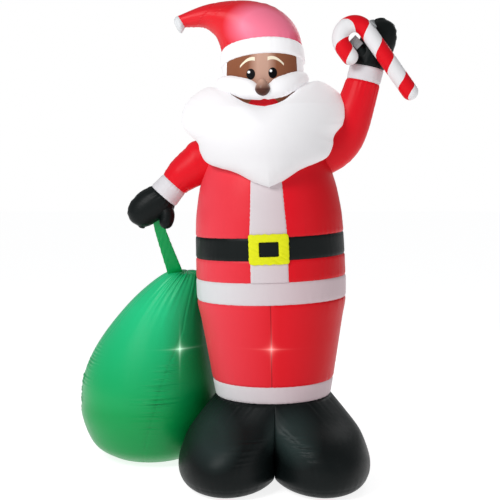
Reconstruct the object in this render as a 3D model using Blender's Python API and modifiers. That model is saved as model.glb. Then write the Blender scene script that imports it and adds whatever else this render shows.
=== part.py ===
"""An inflatable Santa Claus for the lawn: one figure sewn from panels of coloured cloth, with a sack at its side.

Metres, +Z up, and the figure faces -Y. It is modelled upright round its own axis and then bent a little towards
the sack. Last of all everything moves so that the origin is under the middle of its bounding box.
The soft forms are given in hundredths of the figure's height: outlines as (x, z) from the front, turned bodies
as (height, radius).
"""

import math

import bmesh
import bpy
import numpy as np
from mathutils import Vector

# Driving dimensions, in metres
HEIGHT = 2.44
SWAY = 0.036 * HEIGHT       # how far the top of the figure leans over towards the sack
SEAM_GAP = 0.0003           # left between two pieces that touch

BUCKLE_WIDTH = 0.080 * HEIGHT
BUCKLE_OVERLAP = 0.0074 * HEIGHT            # how far the buckle reaches above and below the belt
BUCKLE_SIDE_BORDER = 0.0205 * HEIGHT
BUCKLE_TOP_BORDER = 0.0156 * HEIGHT
BUCKLE_THICKNESS = 0.0041 * HEIGHT
STRIP_WIDTH = 0.0754 * HEIGHT               # the white strip down the coat's front, at its foot
STRIP_TOP_WIDTH = 0.0557 * HEIGHT           # the same strip where it goes in under the beard
STRIP_OFFSET = -0.0049 * HEIGHT             # the strip and the buckle sit a little to the sack's side
PANEL_DEPTH = 0.0123 * HEIGHT               # how deep the strip is let into the coat

CANE_RADIUS = 0.0171 * HEIGHT
CANE_BEND_RADIUS = 0.0290 * HEIGHT
CANE_SHAFT = 0.1525 * HEIGHT
CANE_LEG = 0.0235 * HEIGHT
CANE_LEAN_DEG = 33.0        # the angle of the cane's shaft to the vertical
TAB_WIDTH = 0.0185 * HEIGHT
TAB_THICKNESS = 0.0035 * HEIGHT

STRAP_WIDTH = 0.0254 * HEIGHT
STRAP_THICKNESS = 0.0041 * HEIGHT

# Forms of the figure, in hundredths of its height
PERCENT = HEIGHT / 100
BODY_DEPTH = 0.94           # the body's depth as a share of its width
BODY_OUTLINE = [(17.9, 12.2), (23.7, 13.2), (33.4, 14.8), (38.6, 15.7), (46.0, 15.7), (54.0, 15.45),
                (58.0, 15.0), (62.7, 14.05), (68.4, 12.05), (72.2, 9.5), (74.6, 6.6)]
TROUSER_BAND_FOOT = 17.9
TROUSER_BAND_TOP = 21.4
COAT_BAND_FOOT = 38.5
COAT_BAND_TOP = 43.0
BELT_FOOT = 47.4
BELT_TOP = 51.95
NECK = 74.6
STRIP_TOP = 68.5

# One boot from the band down to the sole: height, middle x, half width, middle y, half length, splay
BOOT_SECTIONS = [(17.9, 0.0, 12.15, 0.0, 11.4, 0.0), (14.1, 3.2, 12.1, -0.8, 13.1, 0.03),
                 (10.7, 6.9, 11.0, -2.4, 15.1, 0.04), (7.8, 8.9, 10.3, -3.4, 16.1, 0.03),
                 (5.1, 9.5, 10.4, -3.8, 16.3, 0.03), (2.7, 9.2, 10.5, -3.9, 15.9, 0.03),
                 (0.9, 9.3, 9.3, -3.7, 14.7, 0.03), (0.0, 9.5, 7.0, -3.4, 12.8, 0.03)]

HEAD_OUTLINE = [(74.6, 6.4), (76.8, 7.6), (80.0, 8.35), (83.4, 8.5), (86.75, 8.4)]
FACE_PLANE = -4.2           # y of the seam between the face and the hair, in the head's middle
FACE_TURN = -0.065          # and how much that changes with x, since the face looks a little towards the sack
BAND_TOP = 90.0
BAND_OUTLINE = [(86.75, 8.5), (87.25, 8.8), (89.4, 8.6), (90.0, 8.3)]
HAT_TILT_DEG = 13.0         # the hat's band is this much higher in front
HAT_SHIFT = 0.35            # and sits this much off the head's middle
HAT_CROWN = [(8.35, 90.0), (8.0, 92.6), (6.6, 95.6), (3.5, 98.5), (-0.6, 100.0), (-4.5, 100.45),
             (-8.2, 100.35), (-11.7, 99.8), (-16.65, 98.2)]
HAT_UNDER = [(-8.35, 90.0), (-8.6, 91.5), (-8.9, 92.6), (-9.3, 93.6), (-10.0, 94.4), (-10.8, 95.1),
             (-11.8, 95.55), (-13.4, 95.7), (-15.5, 95.8)]
HAT_DEPTH = [7.8, 7.7, 7.2, 6.3, 5.3, 4.3, 3.3, 2.5, 1.6]
TIP_CROWN = [(-16.65, 98.2), (-17.15, 97.95), (-17.5, 97.5)]
TIP_UNDER = [(-15.5, 95.8), (-15.8, 95.2), (-16.2, 94.65)]
TIP_DEPTH = [1.6, 1.7, 1.3]

NOSE_MIDDLE = (-0.2, -9.3, 81.4)
NOSE_RADII = (1.5, 1.9, 1.35)
# Half of the moustache: x, y, z, half height, half depth
MOUSTACHE = [(0.0, -8.7, 80.4, 1.15, 1.3), (3.1, -8.3, 81.45, 1.95, 1.5), (5.4, -6.9, 82.3, 1.65, 1.5),
             (6.9, -5.1, 83.0, 1.35, 1.4), (8.3, -2.9, 83.4, 1.2, 1.2), (8.9, -1.2, 83.4, 0.7, 0.7)]

BEARD_MIDDLE = 73.8
BEARD_OUTLINE = [(0.0, 78.0), (3.6, 78.9), (6.3, 80.4), (9.2, 81.7), (11.7, 82.9), (14.5, 81.6), (16.5, 79.5),
                 (17.3, 76.6), (16.4, 74.0), (14.1, 71.6), (13.5, 69.3), (12.3, 67.3), (10.0, 66.2),
                 (6.5, 65.0), (3.0, 63.0), (0.0, 61.8)]
BEARD_SEAM = [(61.7, -13.3), (65.6, -12.3), (69.7, -10.7), (73.8, -9.6), (78.0, -8.4), (83.2, -4.1)]
BEARD_WRAP = 0.027          # the beard's seam runs back round the chest by this times x squared
BEARD_FRONT = 7.1
BEARD_BACK = 3.6

LOWERED_UPPER = [(-8.0, 73.4), (-15.0, 72.0), (-17.0, 70.5), (-19.9, 67.9), (-21.8, 65.4), (-24.4, 63.1),
                 (-26.4, 62.1), (-28.6, 60.2), (-29.7, 57.9), (-29.2, 55.8), (-27.6, 54.5)]
LOWERED_UNDER = [(-8.0, 65.0), (-11.9, 63.4), (-13.4, 62.9), (-15.7, 61.95), (-17.4, 61.0), (-19.55, 58.4),
                 (-20.6, 57.0), (-22.3, 55.9), (-23.7, 55.3), (-24.9, 54.6), (-26.2, 54.2)]
LOWERED_DEPTH = [3.9, 3.9, 3.9, 3.6, 3.1, 3.2, 3.3, 3.2, 2.9, 2.2, 1.0]
LOWERED_SLEEVE_END = 4      # the outline point where the sleeve ends, and next the one where the cuff does
LOWERED_CUFF_END = 5
LOWERED_THUMB = [(-21.9, -0.6, 58.4, 1.7, 1.7), (-21.3, -1.2, 57.0, 1.55, 1.55), (-21.3, -1.4, 56.0, 1.5, 1.5),
                 (-21.55, -1.5, 55.2, 1.45, 1.45)]
RAISED_UPPER = [(8.0, 71.3), (11.0, 72.4), (12.5, 73.7), (13.8, 75.8), (15.6, 79.1), (17.55, 83.3),
                (18.45, 86.1), (18.9, 87.6), (19.9, 89.6), (21.3, 91.9), (22.6, 93.6), (23.9, 94.45)]
RAISED_UNDER = [(11.5, 62.9), (16.5, 65.4), (19.6, 68.4), (21.5, 72.1), (23.05, 76.8), (24.4, 81.3),
                (25.4, 84.2), (26.8, 86.6), (27.95, 89.0), (28.45, 91.3), (28.0, 93.4), (26.3, 94.65)]
RAISED_DEPTH = [4.0, 4.2, 4.2, 4.0, 3.7, 3.4, 3.4, 3.3, 3.1, 2.8, 2.2, 1.0]
RAISED_SLEEVE_END = 5
RAISED_CUFF_END = 6
RAISED_THUMB = [(22.0, -0.8, 86.6, 1.5, 1.5), (21.0, -1.7, 87.9, 1.35, 1.35), (20.3, -2.2, 88.8, 1.15, 1.15),
                (19.9, -2.4, 89.3, 1.0, 1.0)]
CANE_BEND_MIDDLE = (19.2, -4.3, 90.7)
# The finger tab lies round the cane where its bend begins: (distance from the shaft's middle, y)
FINGER_TAB = [(2.9, -0.7), (2.3, -2.0), (2.0, -3.3), (1.92, -4.5), (1.6, -5.5)]
# The thumb tab lies flat in the bend's opening, along these (x, y, z)
THUMB_TAB = [(20.3, -3.5, 89.1), (19.6, -3.6, 89.9), (18.8, -3.6, 90.8)]

SACK_AXIS = (-27.5, 14.9)
SACK_OUTLINE = [(0.0, 6.2), (0.9, 9.4), (3.7, 13.3), (9.4, 15.7), (14.0, 15.8), (18.6, 15.4), (25.0, 13.5),
                (32.3, 10.4), (38.0, 7.6), (42.3, 4.5), (43.1, 1.6)]
SACK_LEAN_FROM = 17.0       # above this height the sack leans over to the hand, by these times the height squared
SACK_LEAN = (0.0125, -0.0095)
STRAP_PATH = [(-20.5, 7.5, 42.4), (-21.0, 5.9, 44.6), (-22.2, 3.0, 49.5), (-23.1, 0.6, 53.6), (-23.4, -0.4, 55.9)]
STRAP_TAPER = (1.3, 1.25, 1.05, 0.9, 0.85)

RED = (0.62, 0.012, 0.02)
WHITE = (0.86, 0.86, 0.87)
BLACK = (0.012, 0.014, 0.014)
GREEN = (0.0, 0.27, 0.06)
YELLOW = (0.72, 0.74, 0.01)
SKIN = (0.26, 0.10, 0.055)
GREY = (0.55, 0.56, 0.57)

BODY_RING = 28              # points round the body, the head and the sack
LIMB_RING = 14              # points round an arm
TUBE_RING = 10              # points round the cane, a thumb and the moustache


def collection(name):
    made = bpy.data.collections.new(name)
    bpy.context.scene.collection.children.link(made)
    return made


def cloth(name, colour):
    """A woven polyester cloth of one colour."""
    made = bpy.data.materials.new(name)
    made.use_nodes = True
    shader = made.node_tree.nodes["Principled BSDF"]
    shader.inputs["Base Color"].default_value = (*colour, 1)
    shader.inputs["Roughness"].default_value = 0.45
    return made


def add(name, mesh, material, where):
    mesh.materials.clear()
    mesh.materials.append(material)
    made = bpy.data.objects.new(name, mesh)
    where.objects.link(made)
    return made


def guide(obj, cutters):
    """Makes obj a cutter: it shapes other pieces and isn't one of its own."""
    for old in list(obj.users_collection):
        old.objects.unlink(obj)
    cutters.objects.link(obj)
    obj.hide_render = True
    obj.display_type = "WIRE"
    return obj


def settled(obj):
    """obj with its modifiers applied, so that its points can be moved."""
    graph = bpy.context.evaluated_depsgraph_get()
    mesh = bpy.data.meshes.new_from_object(obj.evaluated_get(graph))
    obj.modifiers.clear()
    obj.data = mesh
    return obj


def through(points, count):
    """Points on a smooth curve through the given ones, with the same number of steps between each two."""
    given = np.array(points, float)
    ends = np.vstack([2 * given[0] - given[1], given, 2 * given[-1] - given[-2]])
    made = []
    for step in np.linspace(0, len(given) - 1, count):
        first = min(int(step), len(given) - 2)
        t = step - first
        a, b, c, d = ends[first:first + 4]
        bend = t * t * (2 * a - 5 * b + 4 * c - d) + t ** 3 * (3 * b - a - 3 * c + d)
        made.append(b + (t * (c - a) + bend) / 2)
    return np.array(made)


def sway(point):
    """Where a point of the upright figure is once the figure leans."""
    share = point[2] / HEIGHT
    angle = math.atan(2 * SWAY * share / HEIGHT)
    return Vector((point[0] * math.cos(angle) - SWAY * share * share, point[1], point[2] + point[0] * math.sin(angle)))


def tilt_hat(point):
    """The head from the nose up, and the hat, rise towards the front; the hat's top is level again."""
    share = float(np.interp(point[2] / PERCENT, (80.0, BAND_OUTLINE[0][0], BAND_TOP, 99.0), (0, 1, 1, 0)))
    rise = -point[1] * math.tan(math.radians(HAT_TILT_DEG)) * share
    return sway((point[0] + HAT_SHIFT * PERCENT * share, point[1], point[2] + rise))


def finished(bm, mesh):
    """Writes bm to mesh as triangles that face out, so that every later cut meets the same surface."""
    bmesh.ops.recalc_face_normals(bm, faces=bm.faces)
    bmesh.ops.triangulate(bm, faces=bm.faces)
    bm.to_mesh(mesh)
    bm.free()
    return mesh


def skin(name, rings, material, where, place=sway):
    """A closed solid through rings of points. A ring of one point closes it in a tip."""
    bm = bmesh.new()
    made = [[bm.verts.new(place(Vector(p))) for p in ring] for ring in rings]
    for low, high in zip(made, made[1:]):
        count = max(len(low), len(high))
        for i in range(count):
            j = (i + 1) % count
            corners = [low[i % len(low)], low[j % len(low)], high[j % len(high)], high[i % len(high)]]
            bm.faces.new(list(dict.fromkeys(corners)))
    for ring in (made[0], made[-1]):
        if len(ring) > 2:
            bm.faces.new(ring)
    return add(name, finished(bm, bpy.data.meshes.new(name)), material, where)


def turned(name, outline, material, where, depth=1.0, place=sway):
    """A turned solid from (height, radius) points in metres, bottom up, with flat ends."""
    outline = [(outline[0][0], 0.0), *outline, (outline[-1][0], 0.0)]
    mesh = bpy.data.meshes.new(name)
    mesh.from_pydata([(r, 0, z) for z, r in outline], [(i, i + 1) for i in range(len(outline) - 1)], [])
    obj = add(name, mesh, material, where)
    turn = obj.modifiers.new("turn", "SCREW")
    turn.steps = turn.render_steps = BODY_RING
    turn.use_merge_vertices = True
    turn.merge_threshold = 0.0001
    settled(obj)
    bm = bmesh.new()
    bm.from_mesh(obj.data)
    for vertex in bm.verts:
        vertex.co = place(Vector((vertex.co.x, vertex.co.y * depth, vertex.co.z)))
    finished(bm, obj.data)
    return obj


def oval(middle, across, deep, count, squareness=1.0):
    """A ring of points round middle; squareness under 1 brings it nearer to a rectangle."""
    ring = []
    for i in range(count):
        turn = 2 * math.pi * (i + 0.5) / count
        a, b = (math.copysign(abs(f(turn)) ** squareness, f(turn)) for f in (math.cos, math.sin))
        ring.append(middle + across * a + deep * b)
    return ring


def sweep(path, rows, count=TUBE_RING, squareness=1.0, round_ends=(True, True)):
    """Rings along a path of x, y, z, half width, half depth, in hundredths. The depth is measured along Y."""
    spine = through(path, rows + 1) * PERCENT
    rings = []
    for i, (*middle, wide, deep) in enumerate(spine):
        along = Vector(spine[min(i + 1, rows)][:3] - spine[max(i - 1, 0)][:3]).normalized()
        inward = (Vector((0, 1, 0)) - along * along.y).normalized()
        rings.append(oval(Vector(middle), along.cross(inward) * wide, inward * deep, count, squareness))
    for end, step, wanted in ((0, 1, round_ends[0]), (rows, -1, round_ends[1])):
        if not wanted:
            continue
        middle, beside = Vector(spine[end][:3]), Vector(spine[end + step][:3])
        out = (middle - beside).normalized() * min(spine[end][3:])
        caps = [[middle + (p - middle) * math.cos(t) + out * math.sin(t) for p in rings[-1 if step < 0 else 0]]
                for t in (math.radians(30), math.radians(60))]
        caps.append([middle + out])
        rings = caps[::-1] + rings if step > 0 else rings + caps
    return rings


def spanned(upper, under, depths, start, end, rows, count=LIMB_RING, leave=0.0, tip=False):
    """Rings that span two outlines seen from the front, from one outline point to another, and are round in depth."""
    fine = 12
    edges = through([(*a, *b, d) for a, b, d in zip(upper, under, depths)], (len(upper) - 1) * fine + 1) * PERCENT

    def row(step):
        x, z, x2, z2, deep = (float(np.interp(step * fine, range(len(edges)), column)) for column in edges.T)
        return Vector((x + x2, 0, z + z2)) / 2, Vector((x2 - x, 0, z2 - z)) / 2, Vector((0, deep, 0))

    pace = (row(start + 1)[0] - row(start)[0]).length
    rings = [oval(*row(step), count) for step in np.linspace(start + leave / pace, end, rows + 1)]
    if tip:
        last, before = row(end)[0], row(end - 0.5)[0]
        rings.append([last + (last - before) * 0.3])
    return rings


def boolean(obj, tool, operation="DIFFERENCE", crossing=False):
    """Cuts, joins or crosses obj with tool. With crossing, the tool's surface may run through itself."""
    step = obj.modifiers.new(operation.lower(), "BOOLEAN")
    step.operation = operation
    step.solver = "EXACT"
    step.use_self = crossing
    step.object = tool
    return settled(obj)


def clear_of(obj, neighbours, cutters):
    """Cuts obj back from its neighbours, so that they touch but for the seam gap."""
    for other in neighbours:
        room = guide(add(other.name + "_room", other.data.copy(), other.data.materials[0], cutters), cutters)
        swell = room.modifiers.new("swell", "DISPLACE")
        swell.strength = 1.5 * SEAM_GAP
        swell.mid_level = 0.0
        boolean(obj, settled(room), crossing=True)
        bpy.data.objects.remove(room)
    return obj


def prism(name, outline, back, front, cutters, material):
    """A cutter with an outline of (x, z) seen from the front, between two depths, in metres."""
    rings = [[(x, y, z) for x, z in outline] for y in (back, front)]
    return guide(skin(name, rings, material, cutters), cutters)


def body_radius(height):
    """Half the body's width at a height in hundredths, in metres."""
    curve = through(BODY_OUTLINE, 12 * len(BODY_OUTLINE))
    return float(np.interp(height, curve[:, 0], curve[:, 1])) * PERCENT


def body_slice(name, foot, top, rows, material, where, grow=0.0):
    """The body between two heights in hundredths, its side moved out by grow metres."""
    outline = [(z * PERCENT, body_radius(z) + grow) for z in np.linspace(foot, top, rows + 1)]
    outline[0] = (outline[0][0] + SEAM_GAP / 2, outline[0][1])
    outline[-1] = (outline[-1][0] - SEAM_GAP / 2, outline[-1][1])
    return turned(name, outline, material, where, BODY_DEPTH)


def let_in(name, panel, foot, top, top_width, material, parts, cutters):
    """The white strip down the front of a red panel, let in flush with it."""
    for wider, operation in ((0.0, "INTERSECT"), (SEAM_GAP, "DIFFERENCE")):
        low, high = foot * PERCENT, top * PERCENT + wider
        outline = [(STRIP_OFFSET + side * (width / 2 + wider), z)
                   for side, width, z in ((-1, STRIP_WIDTH, low), (1, STRIP_WIDTH, low),
                                          (1, top_width, high), (-1, top_width, high))]
        tool = prism(name + "_room", outline, 0.0, -HEIGHT / 2, cutters, material)
        core = body_slice(name + "_core", foot - 4, min(top + 4, NECK - 1), 10, material, cutters,
                          -PANEL_DEPTH - wider)
        boolean(tool, guide(core, cutters))
        if operation == "INTERSECT":
            strip = boolean(add(name, panel.data.copy(), material, parts), tool, operation)
            strip.data.materials.clear()
            strip.data.materials.append(material)
        else:
            boolean(panel, tool, operation)
    return strip


def make_body(parts, cutters, cloths):
    """Trousers, coat, belt and bands, which are slices of one turned body, and what is let into or laid on them."""
    red, white = cloths["red"], cloths["white"]
    body_slice("trouser_band", TROUSER_BAND_FOOT, TROUSER_BAND_TOP, 1, white, parts)
    body_slice("trousers", TROUSER_BAND_TOP, COAT_BAND_FOOT, 4, red, parts)
    body_slice("coat_band", COAT_BAND_FOOT, COAT_BAND_TOP, 2, white, parts)
    skirt = body_slice("coat_skirt", COAT_BAND_TOP, BELT_FOOT, 2, red, parts)
    body_slice("belt", BELT_FOOT, BELT_TOP, 2, cloths["black"], parts)
    coat = body_slice("coat", BELT_TOP, NECK, 9, red, parts)
    let_in("skirt_strip", skirt, COAT_BAND_TOP - 1, BELT_FOOT + 1, STRIP_WIDTH, white, parts, cutters)
    strip = let_in("coat_strip", coat, BELT_TOP - 1, STRIP_TOP, STRIP_TOP_WIDTH, white, parts, cutters)

    gap = 2 * SEAM_GAP
    buckle = body_slice("buckle", BELT_FOOT - 3, BELT_TOP + 3, 4, cloths["yellow"], parts, BUCKLE_THICKNESS + gap)
    core = body_slice("buckle_core", BELT_FOOT - 4, BELT_TOP + 4, 8, white, cutters, gap)
    boolean(buckle, guide(core, cutters))
    for border_x, border_z, operation in ((0.0, 0.0, "INTERSECT"),
                                          (BUCKLE_SIDE_BORDER, BUCKLE_TOP_BORDER, "DIFFERENCE")):
        half = BUCKLE_WIDTH / 2 - border_x
        low_z = BELT_FOOT * PERCENT - BUCKLE_OVERLAP + border_z
        high_z = BELT_TOP * PERCENT + BUCKLE_OVERLAP - border_z
        outline = [(STRIP_OFFSET + x, z) for x, z in ((-half, low_z), (half, low_z), (half, high_z), (-half, high_z))]
        boolean(buckle, prism("buckle_outline", outline, -HEIGHT / 12, -HEIGHT / 2, cutters, white), operation)
    buckle.data.materials.clear()
    buckle.data.materials.append(cloths["yellow"])
    return coat, strip


def make_boots(parts, cutters, black):
    """Each boot is a full round from the band down, cut off where it meets the other one."""
    made = []
    for name, side in (("boot_left", -1), ("boot_right", 1)):
        sections = through(BOOT_SECTIONS, 11) * PERCENT
        rings = []
        for z, x, wide, y, long, splay in sections:
            z = min(max(z, 0.0), BOOT_SECTIONS[0][0] * PERCENT - SEAM_GAP / 2)
            ring = oval(Vector((0, y, z)), Vector((side * wide, 0, 0)), Vector((0, long, 0)), BODY_RING - 6)
            rings.append([p + Vector((side * (x - splay / PERCENT * p.y), 0, 0)) for p in ring])
        boot = skin(name, rings, black, parts)
        edge = side * SEAM_GAP / 2
        outline = [(edge, -HEIGHT), (edge - side * HEIGHT, -HEIGHT), (edge - side * HEIGHT, HEIGHT), (edge, HEIGHT)]
        tool = guide(skin(name + "_side", [[(x, y, z) for x, z in outline] for y in (-HEIGHT, HEIGHT)],
                          black, cutters, Vector), cutters)
        made.append(boolean(boot, tool))
    return made


def make_head(parts, cutters, cloths, coat):
    """The head with its face panel, the hat, and the nose and moustache laid on the face."""
    white, red = cloths["white"], cloths["red"]
    levels = through(HEAD_OUTLINE, 9) * PERCENT
    levels[0][0] += SEAM_GAP / 2
    levels[-1][0] -= SEAM_GAP / 2
    head = turned("head", [tuple(p) for p in levels], white, parts, BODY_DEPTH, tilt_hat)
    face = add("face", head.data.copy(), cloths["skin"], parts)
    front = FACE_PLANE * PERCENT
    square = ((-HEIGHT, 0), (HEIGHT, 0), (HEIGHT, 2 * HEIGHT), (-HEIGHT, 2 * HEIGHT))
    for obj, y, operation in ((face, front, "INTERSECT"), (head, front + SEAM_GAP, "DIFFERENCE")):
        rings = [[(x, y + FACE_TURN * x, z) for x, z in square], [(x, -HEIGHT, z) for x, z in square]]
        boolean(obj, guide(skin("face_side", rings, white, cutters, Vector), cutters), operation)
    face.data.materials.clear()
    face.data.materials.append(cloths["skin"])

    band = [(z * PERCENT, r * PERCENT) for z, r in BAND_OUTLINE]
    band[0] = (band[0][0] + SEAM_GAP / 2, band[0][1])
    turned("hat_band", band, white, parts, BODY_DEPTH, tilt_hat)
    rings = spanned(HAT_CROWN, HAT_UNDER, HAT_DEPTH, 0, len(HAT_DEPTH) - 1, 12, LIMB_RING + 6, SEAM_GAP)
    skin("hat", rings, red, parts, tilt_hat)
    rings = spanned(TIP_CROWN, TIP_UNDER, TIP_DEPTH, 0, len(TIP_DEPTH) - 1, 3, LIMB_RING, SEAM_GAP, True)
    skin("hat_tip", rings, white, parts, tilt_hat)

    middle = Vector(NOSE_MIDDLE) * PERCENT
    wide, deep, tall = Vector(NOSE_RADII) * PERCENT
    rings = [oval(middle - Vector((0, 0, tall * math.cos(t))), Vector((wide * math.sin(t), 0, 0)),
                  Vector((0, deep * math.sin(t), 0)), TUBE_RING) for t in np.linspace(0.25, math.pi - 0.25, 7)]
    nose = clear_of(skin("nose", rings, cloths["skin"], parts), (face,), cutters)
    path = [(-x, y, z, tall, deep) for x, y, z, tall, deep in MOUSTACHE[:0:-1]] + MOUSTACHE
    moustache = skin("moustache", sweep(path, 10, TUBE_RING - 2), white, parts)
    clear_of(moustache, (face, head, nose), cutters)
    return head, face, moustache


def make_beard(parts, white):
    """A pillow with a lobed outline, bent round the chest. The lobes die away towards its middle."""
    right = through(BEARD_OUTLINE, 22)
    outline = np.vstack([right, right[-2:0:-1] * (-1, 1)]) - (0, BEARD_MIDDLE)
    plain = sum(np.roll(outline, shift, axis=0) for shift in range(-4, 5)) / 9
    rings = []
    for turn in np.radians((-90, -60, -30, 0, 22, 44, 66, 90)):
        ring = []
        bulge = BEARD_FRONT if turn > 0 else BEARD_BACK
        lobed = math.cos(turn) ** 3
        for x, z in (outline * lobed + plain * (1 - lobed)) * math.cos(turn) + (0, BEARD_MIDDLE):
            seam = float(np.interp(z, *zip(*BEARD_SEAM))) + BEARD_WRAP * x * x
            ring.append(Vector((x, seam - bulge * math.sin(turn), z)) * PERCENT)
        rings.append(ring[:1] if abs(math.cos(turn)) < 1e-6 else ring)
    return skin("beard", rings, white, parts)


def make_arm(side, upper, under, depths, thumb, ends, parts, cutters, cloths, coat):
    """Sleeve, cuff and mitten of one arm, end to end."""
    sleeve_end, cuff_end = ends
    last = len(depths) - 1
    sleeve = skin(side + "_sleeve", spanned(upper, under, depths, 0, sleeve_end, 8), cloths["red"], parts)
    rings = spanned(upper, under, depths, sleeve_end, cuff_end, 2, LIMB_RING, SEAM_GAP)
    cuff = skin(side + "_cuff", rings, cloths["white"], parts)
    rings = spanned(upper, under, depths, cuff_end, last, 8, LIMB_RING, SEAM_GAP, True)
    mitten = skin(side + "_mitten", rings, cloths["black"], parts)
    tool = guide(skin(side + "_thumb", sweep(thumb, 5), cloths["black"], cutters), cutters)
    boolean(mitten, tool, "UNION")
    clear_of(mitten, (cuff,), cutters)
    clear_of(sleeve, (coat,), cutters)
    return sleeve, cuff, mitten


def cane_directions():
    """Unit vectors down the cane's shaft and out to its far side."""
    lean = math.radians(CANE_LEAN_DEG)
    return Vector((math.sin(lean), 0, -math.cos(lean))), Vector((math.cos(lean), 0, math.sin(lean)))


def cane_path():
    """The cane's centre line, in hundredths: up the shaft, round the bend and a little way down."""
    down, side = (np.array(d)[[0, 2]] for d in cane_directions())
    bend = CANE_BEND_RADIUS / PERCENT
    x, y, z = CANE_BEND_MIDDLE
    middle = np.array((x, z))
    points = [middle + side * bend + down * CANE_SHAFT / PERCENT * t for t in (1, 0.8, 0.6, 0.4, 0.2)]
    points += [middle + bend * (side * math.cos(t) - down * math.sin(t)) for t in np.linspace(0, math.pi, 9)]
    points.append(middle - side * bend + down * CANE_LEG / PERCENT)
    radius = CANE_RADIUS / PERCENT
    return [(px, y, pz, radius, radius) for px, pz in points]


def make_tab(name, path, across, parts, material):
    """A short tape along a path of points in metres, as wide as TAB_WIDTH in the direction across."""
    rings = []
    for i, point in enumerate(path):
        along = path[min(i + 1, len(path) - 1)] - path[max(i - 1, 0)]
        out = along.cross(across).normalized() * TAB_THICKNESS / 2
        wide = across * TAB_WIDTH / 2
        rings.append([point - wide - out, point + wide - out, point + wide + out, point - wide + out])
    return skin(name, rings, material, parts)


def make_tabs(cane, mitten, parts, cutters, material):
    """Two short tapes that hold the mitten's finger and thumb to the cane."""
    down, side = cane_directions()
    start = Vector(CANE_BEND_MIDDLE) * PERCENT + side * CANE_BEND_RADIUS
    finger = [Vector((start.x, y * PERCENT, start.z)) + side * away * PERCENT for away, y in FINGER_TAB]
    thumb = [Vector(point) * PERCENT for point in THUMB_TAB]
    leaning = (thumb[-1] - thumb[0]).cross(Vector((0, 1, 0))).normalized()
    for name, path, across in (("finger_tab", finger, down), ("thumb_tab", thumb, leaning)):
        clear_of(make_tab(name, path, across, parts, material), (cane, mitten), cutters)


def make_sack(parts, green):
    def lean(point):
        rise = max(0.0, point[2] / PERCENT - SACK_LEAN_FROM)
        return Vector(((SACK_AXIS[0] + SACK_LEAN[0] * rise * rise) * PERCENT + point[0],
                       (SACK_AXIS[1] + SACK_LEAN[1] * rise * rise) * PERCENT + point[1], max(point[2], 0.0)))

    levels = through(SACK_OUTLINE, 12) * PERCENT
    return turned("sack", [tuple(p) for p in levels], green, parts, 1.0, lean)


def centre_on_footprint(pieces):
    """Moves every piece so that the origin is under the middle of the bounding box."""
    points = np.array([vertex.co for piece in pieces for vertex in piece.data.vertices])
    low, high = points.min(0), points.max(0)
    shift = Vector((-(low[0] + high[0]) / 2, -(low[1] + high[1]) / 2, -low[2]))
    for piece in pieces:
        for vertex in piece.data.vertices:
            vertex.co += shift
        piece.data.update()


def main():
    for old in list(bpy.data.objects):
        bpy.data.objects.remove(old)
    parts = collection("inflatable_santa")
    cutters = collection("cutters")
    cloths = {name: cloth(name + "_cloth", colour) for name, colour in
              (("red", RED), ("white", WHITE), ("black", BLACK), ("green", GREEN), ("yellow", YELLOW),
               ("skin", SKIN), ("grey", GREY))}

    coat, strip = make_body(parts, cutters, cloths)
    boots = make_boots(parts, cutters, cloths["black"])
    head, face, moustache = make_head(parts, cutters, cloths, coat)
    lowered = make_arm("lowered", LOWERED_UPPER, LOWERED_UNDER, LOWERED_DEPTH, LOWERED_THUMB,
                       (LOWERED_SLEEVE_END, LOWERED_CUFF_END), parts, cutters, cloths, coat)
    raised = make_arm("raised", RAISED_UPPER, RAISED_UNDER, RAISED_DEPTH, RAISED_THUMB,
                      (RAISED_SLEEVE_END, RAISED_CUFF_END), parts, cutters, cloths, coat)
    beard = make_beard(parts, cloths["white"])
    clear_of(beard, (coat, strip, head, face, moustache, lowered[0], raised[0], raised[1]), cutters)

    cane = skin("candy_cane", sweep(cane_path(), 22), cloths["white"], parts)
    clear_of(raised[2], (cane,), cutters)
    make_tabs(cane, raised[2], parts, cutters, cloths["grey"])

    sack = make_sack(parts, cloths["green"])
    clear_of(sack, boots, cutters)
    path = [(*p, STRAP_WIDTH / 2 / PERCENT * share, STRAP_THICKNESS / 2 / PERCENT)
            for p, share in zip(STRAP_PATH, STRAP_TAPER)]
    strap = skin("sack_strap", sweep(path, 8, TUBE_RING, 0.4, (False, False)), cloths["green"], parts)
    clear_of(strap, (sack, lowered[2]), cutters)
    centre_on_footprint(parts.objects)


main()
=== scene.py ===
"""Looks for the inflatable Santa: every cloth panel again, finer, with its seams, puckers, prints and sheen.

Metres, +Z up, and the figure faces -Y. The shapes are made upright round the figure's own axis, as the solids
were, then bent towards the sack and moved to where the frame has the figure. Soft forms are in hundredths of
the figure's height.
"""

import math

import bpy
import numpy as np
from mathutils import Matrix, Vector


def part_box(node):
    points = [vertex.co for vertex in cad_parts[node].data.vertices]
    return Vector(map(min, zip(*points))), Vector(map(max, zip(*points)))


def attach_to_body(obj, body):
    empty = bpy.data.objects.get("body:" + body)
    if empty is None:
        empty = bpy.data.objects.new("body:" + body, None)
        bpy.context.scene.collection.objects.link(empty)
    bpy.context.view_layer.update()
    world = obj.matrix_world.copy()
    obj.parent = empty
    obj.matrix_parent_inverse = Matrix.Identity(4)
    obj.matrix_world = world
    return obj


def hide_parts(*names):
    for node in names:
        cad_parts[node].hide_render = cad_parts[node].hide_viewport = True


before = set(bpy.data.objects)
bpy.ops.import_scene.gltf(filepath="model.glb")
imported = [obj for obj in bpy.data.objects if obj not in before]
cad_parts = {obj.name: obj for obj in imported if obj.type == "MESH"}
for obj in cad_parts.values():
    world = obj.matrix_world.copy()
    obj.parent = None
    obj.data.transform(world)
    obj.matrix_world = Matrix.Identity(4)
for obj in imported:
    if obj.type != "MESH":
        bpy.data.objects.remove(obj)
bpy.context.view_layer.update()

HEIGHT = 2.44
SWAY = 0.036 * HEIGHT
PERCENT = HEIGHT / 100

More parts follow.
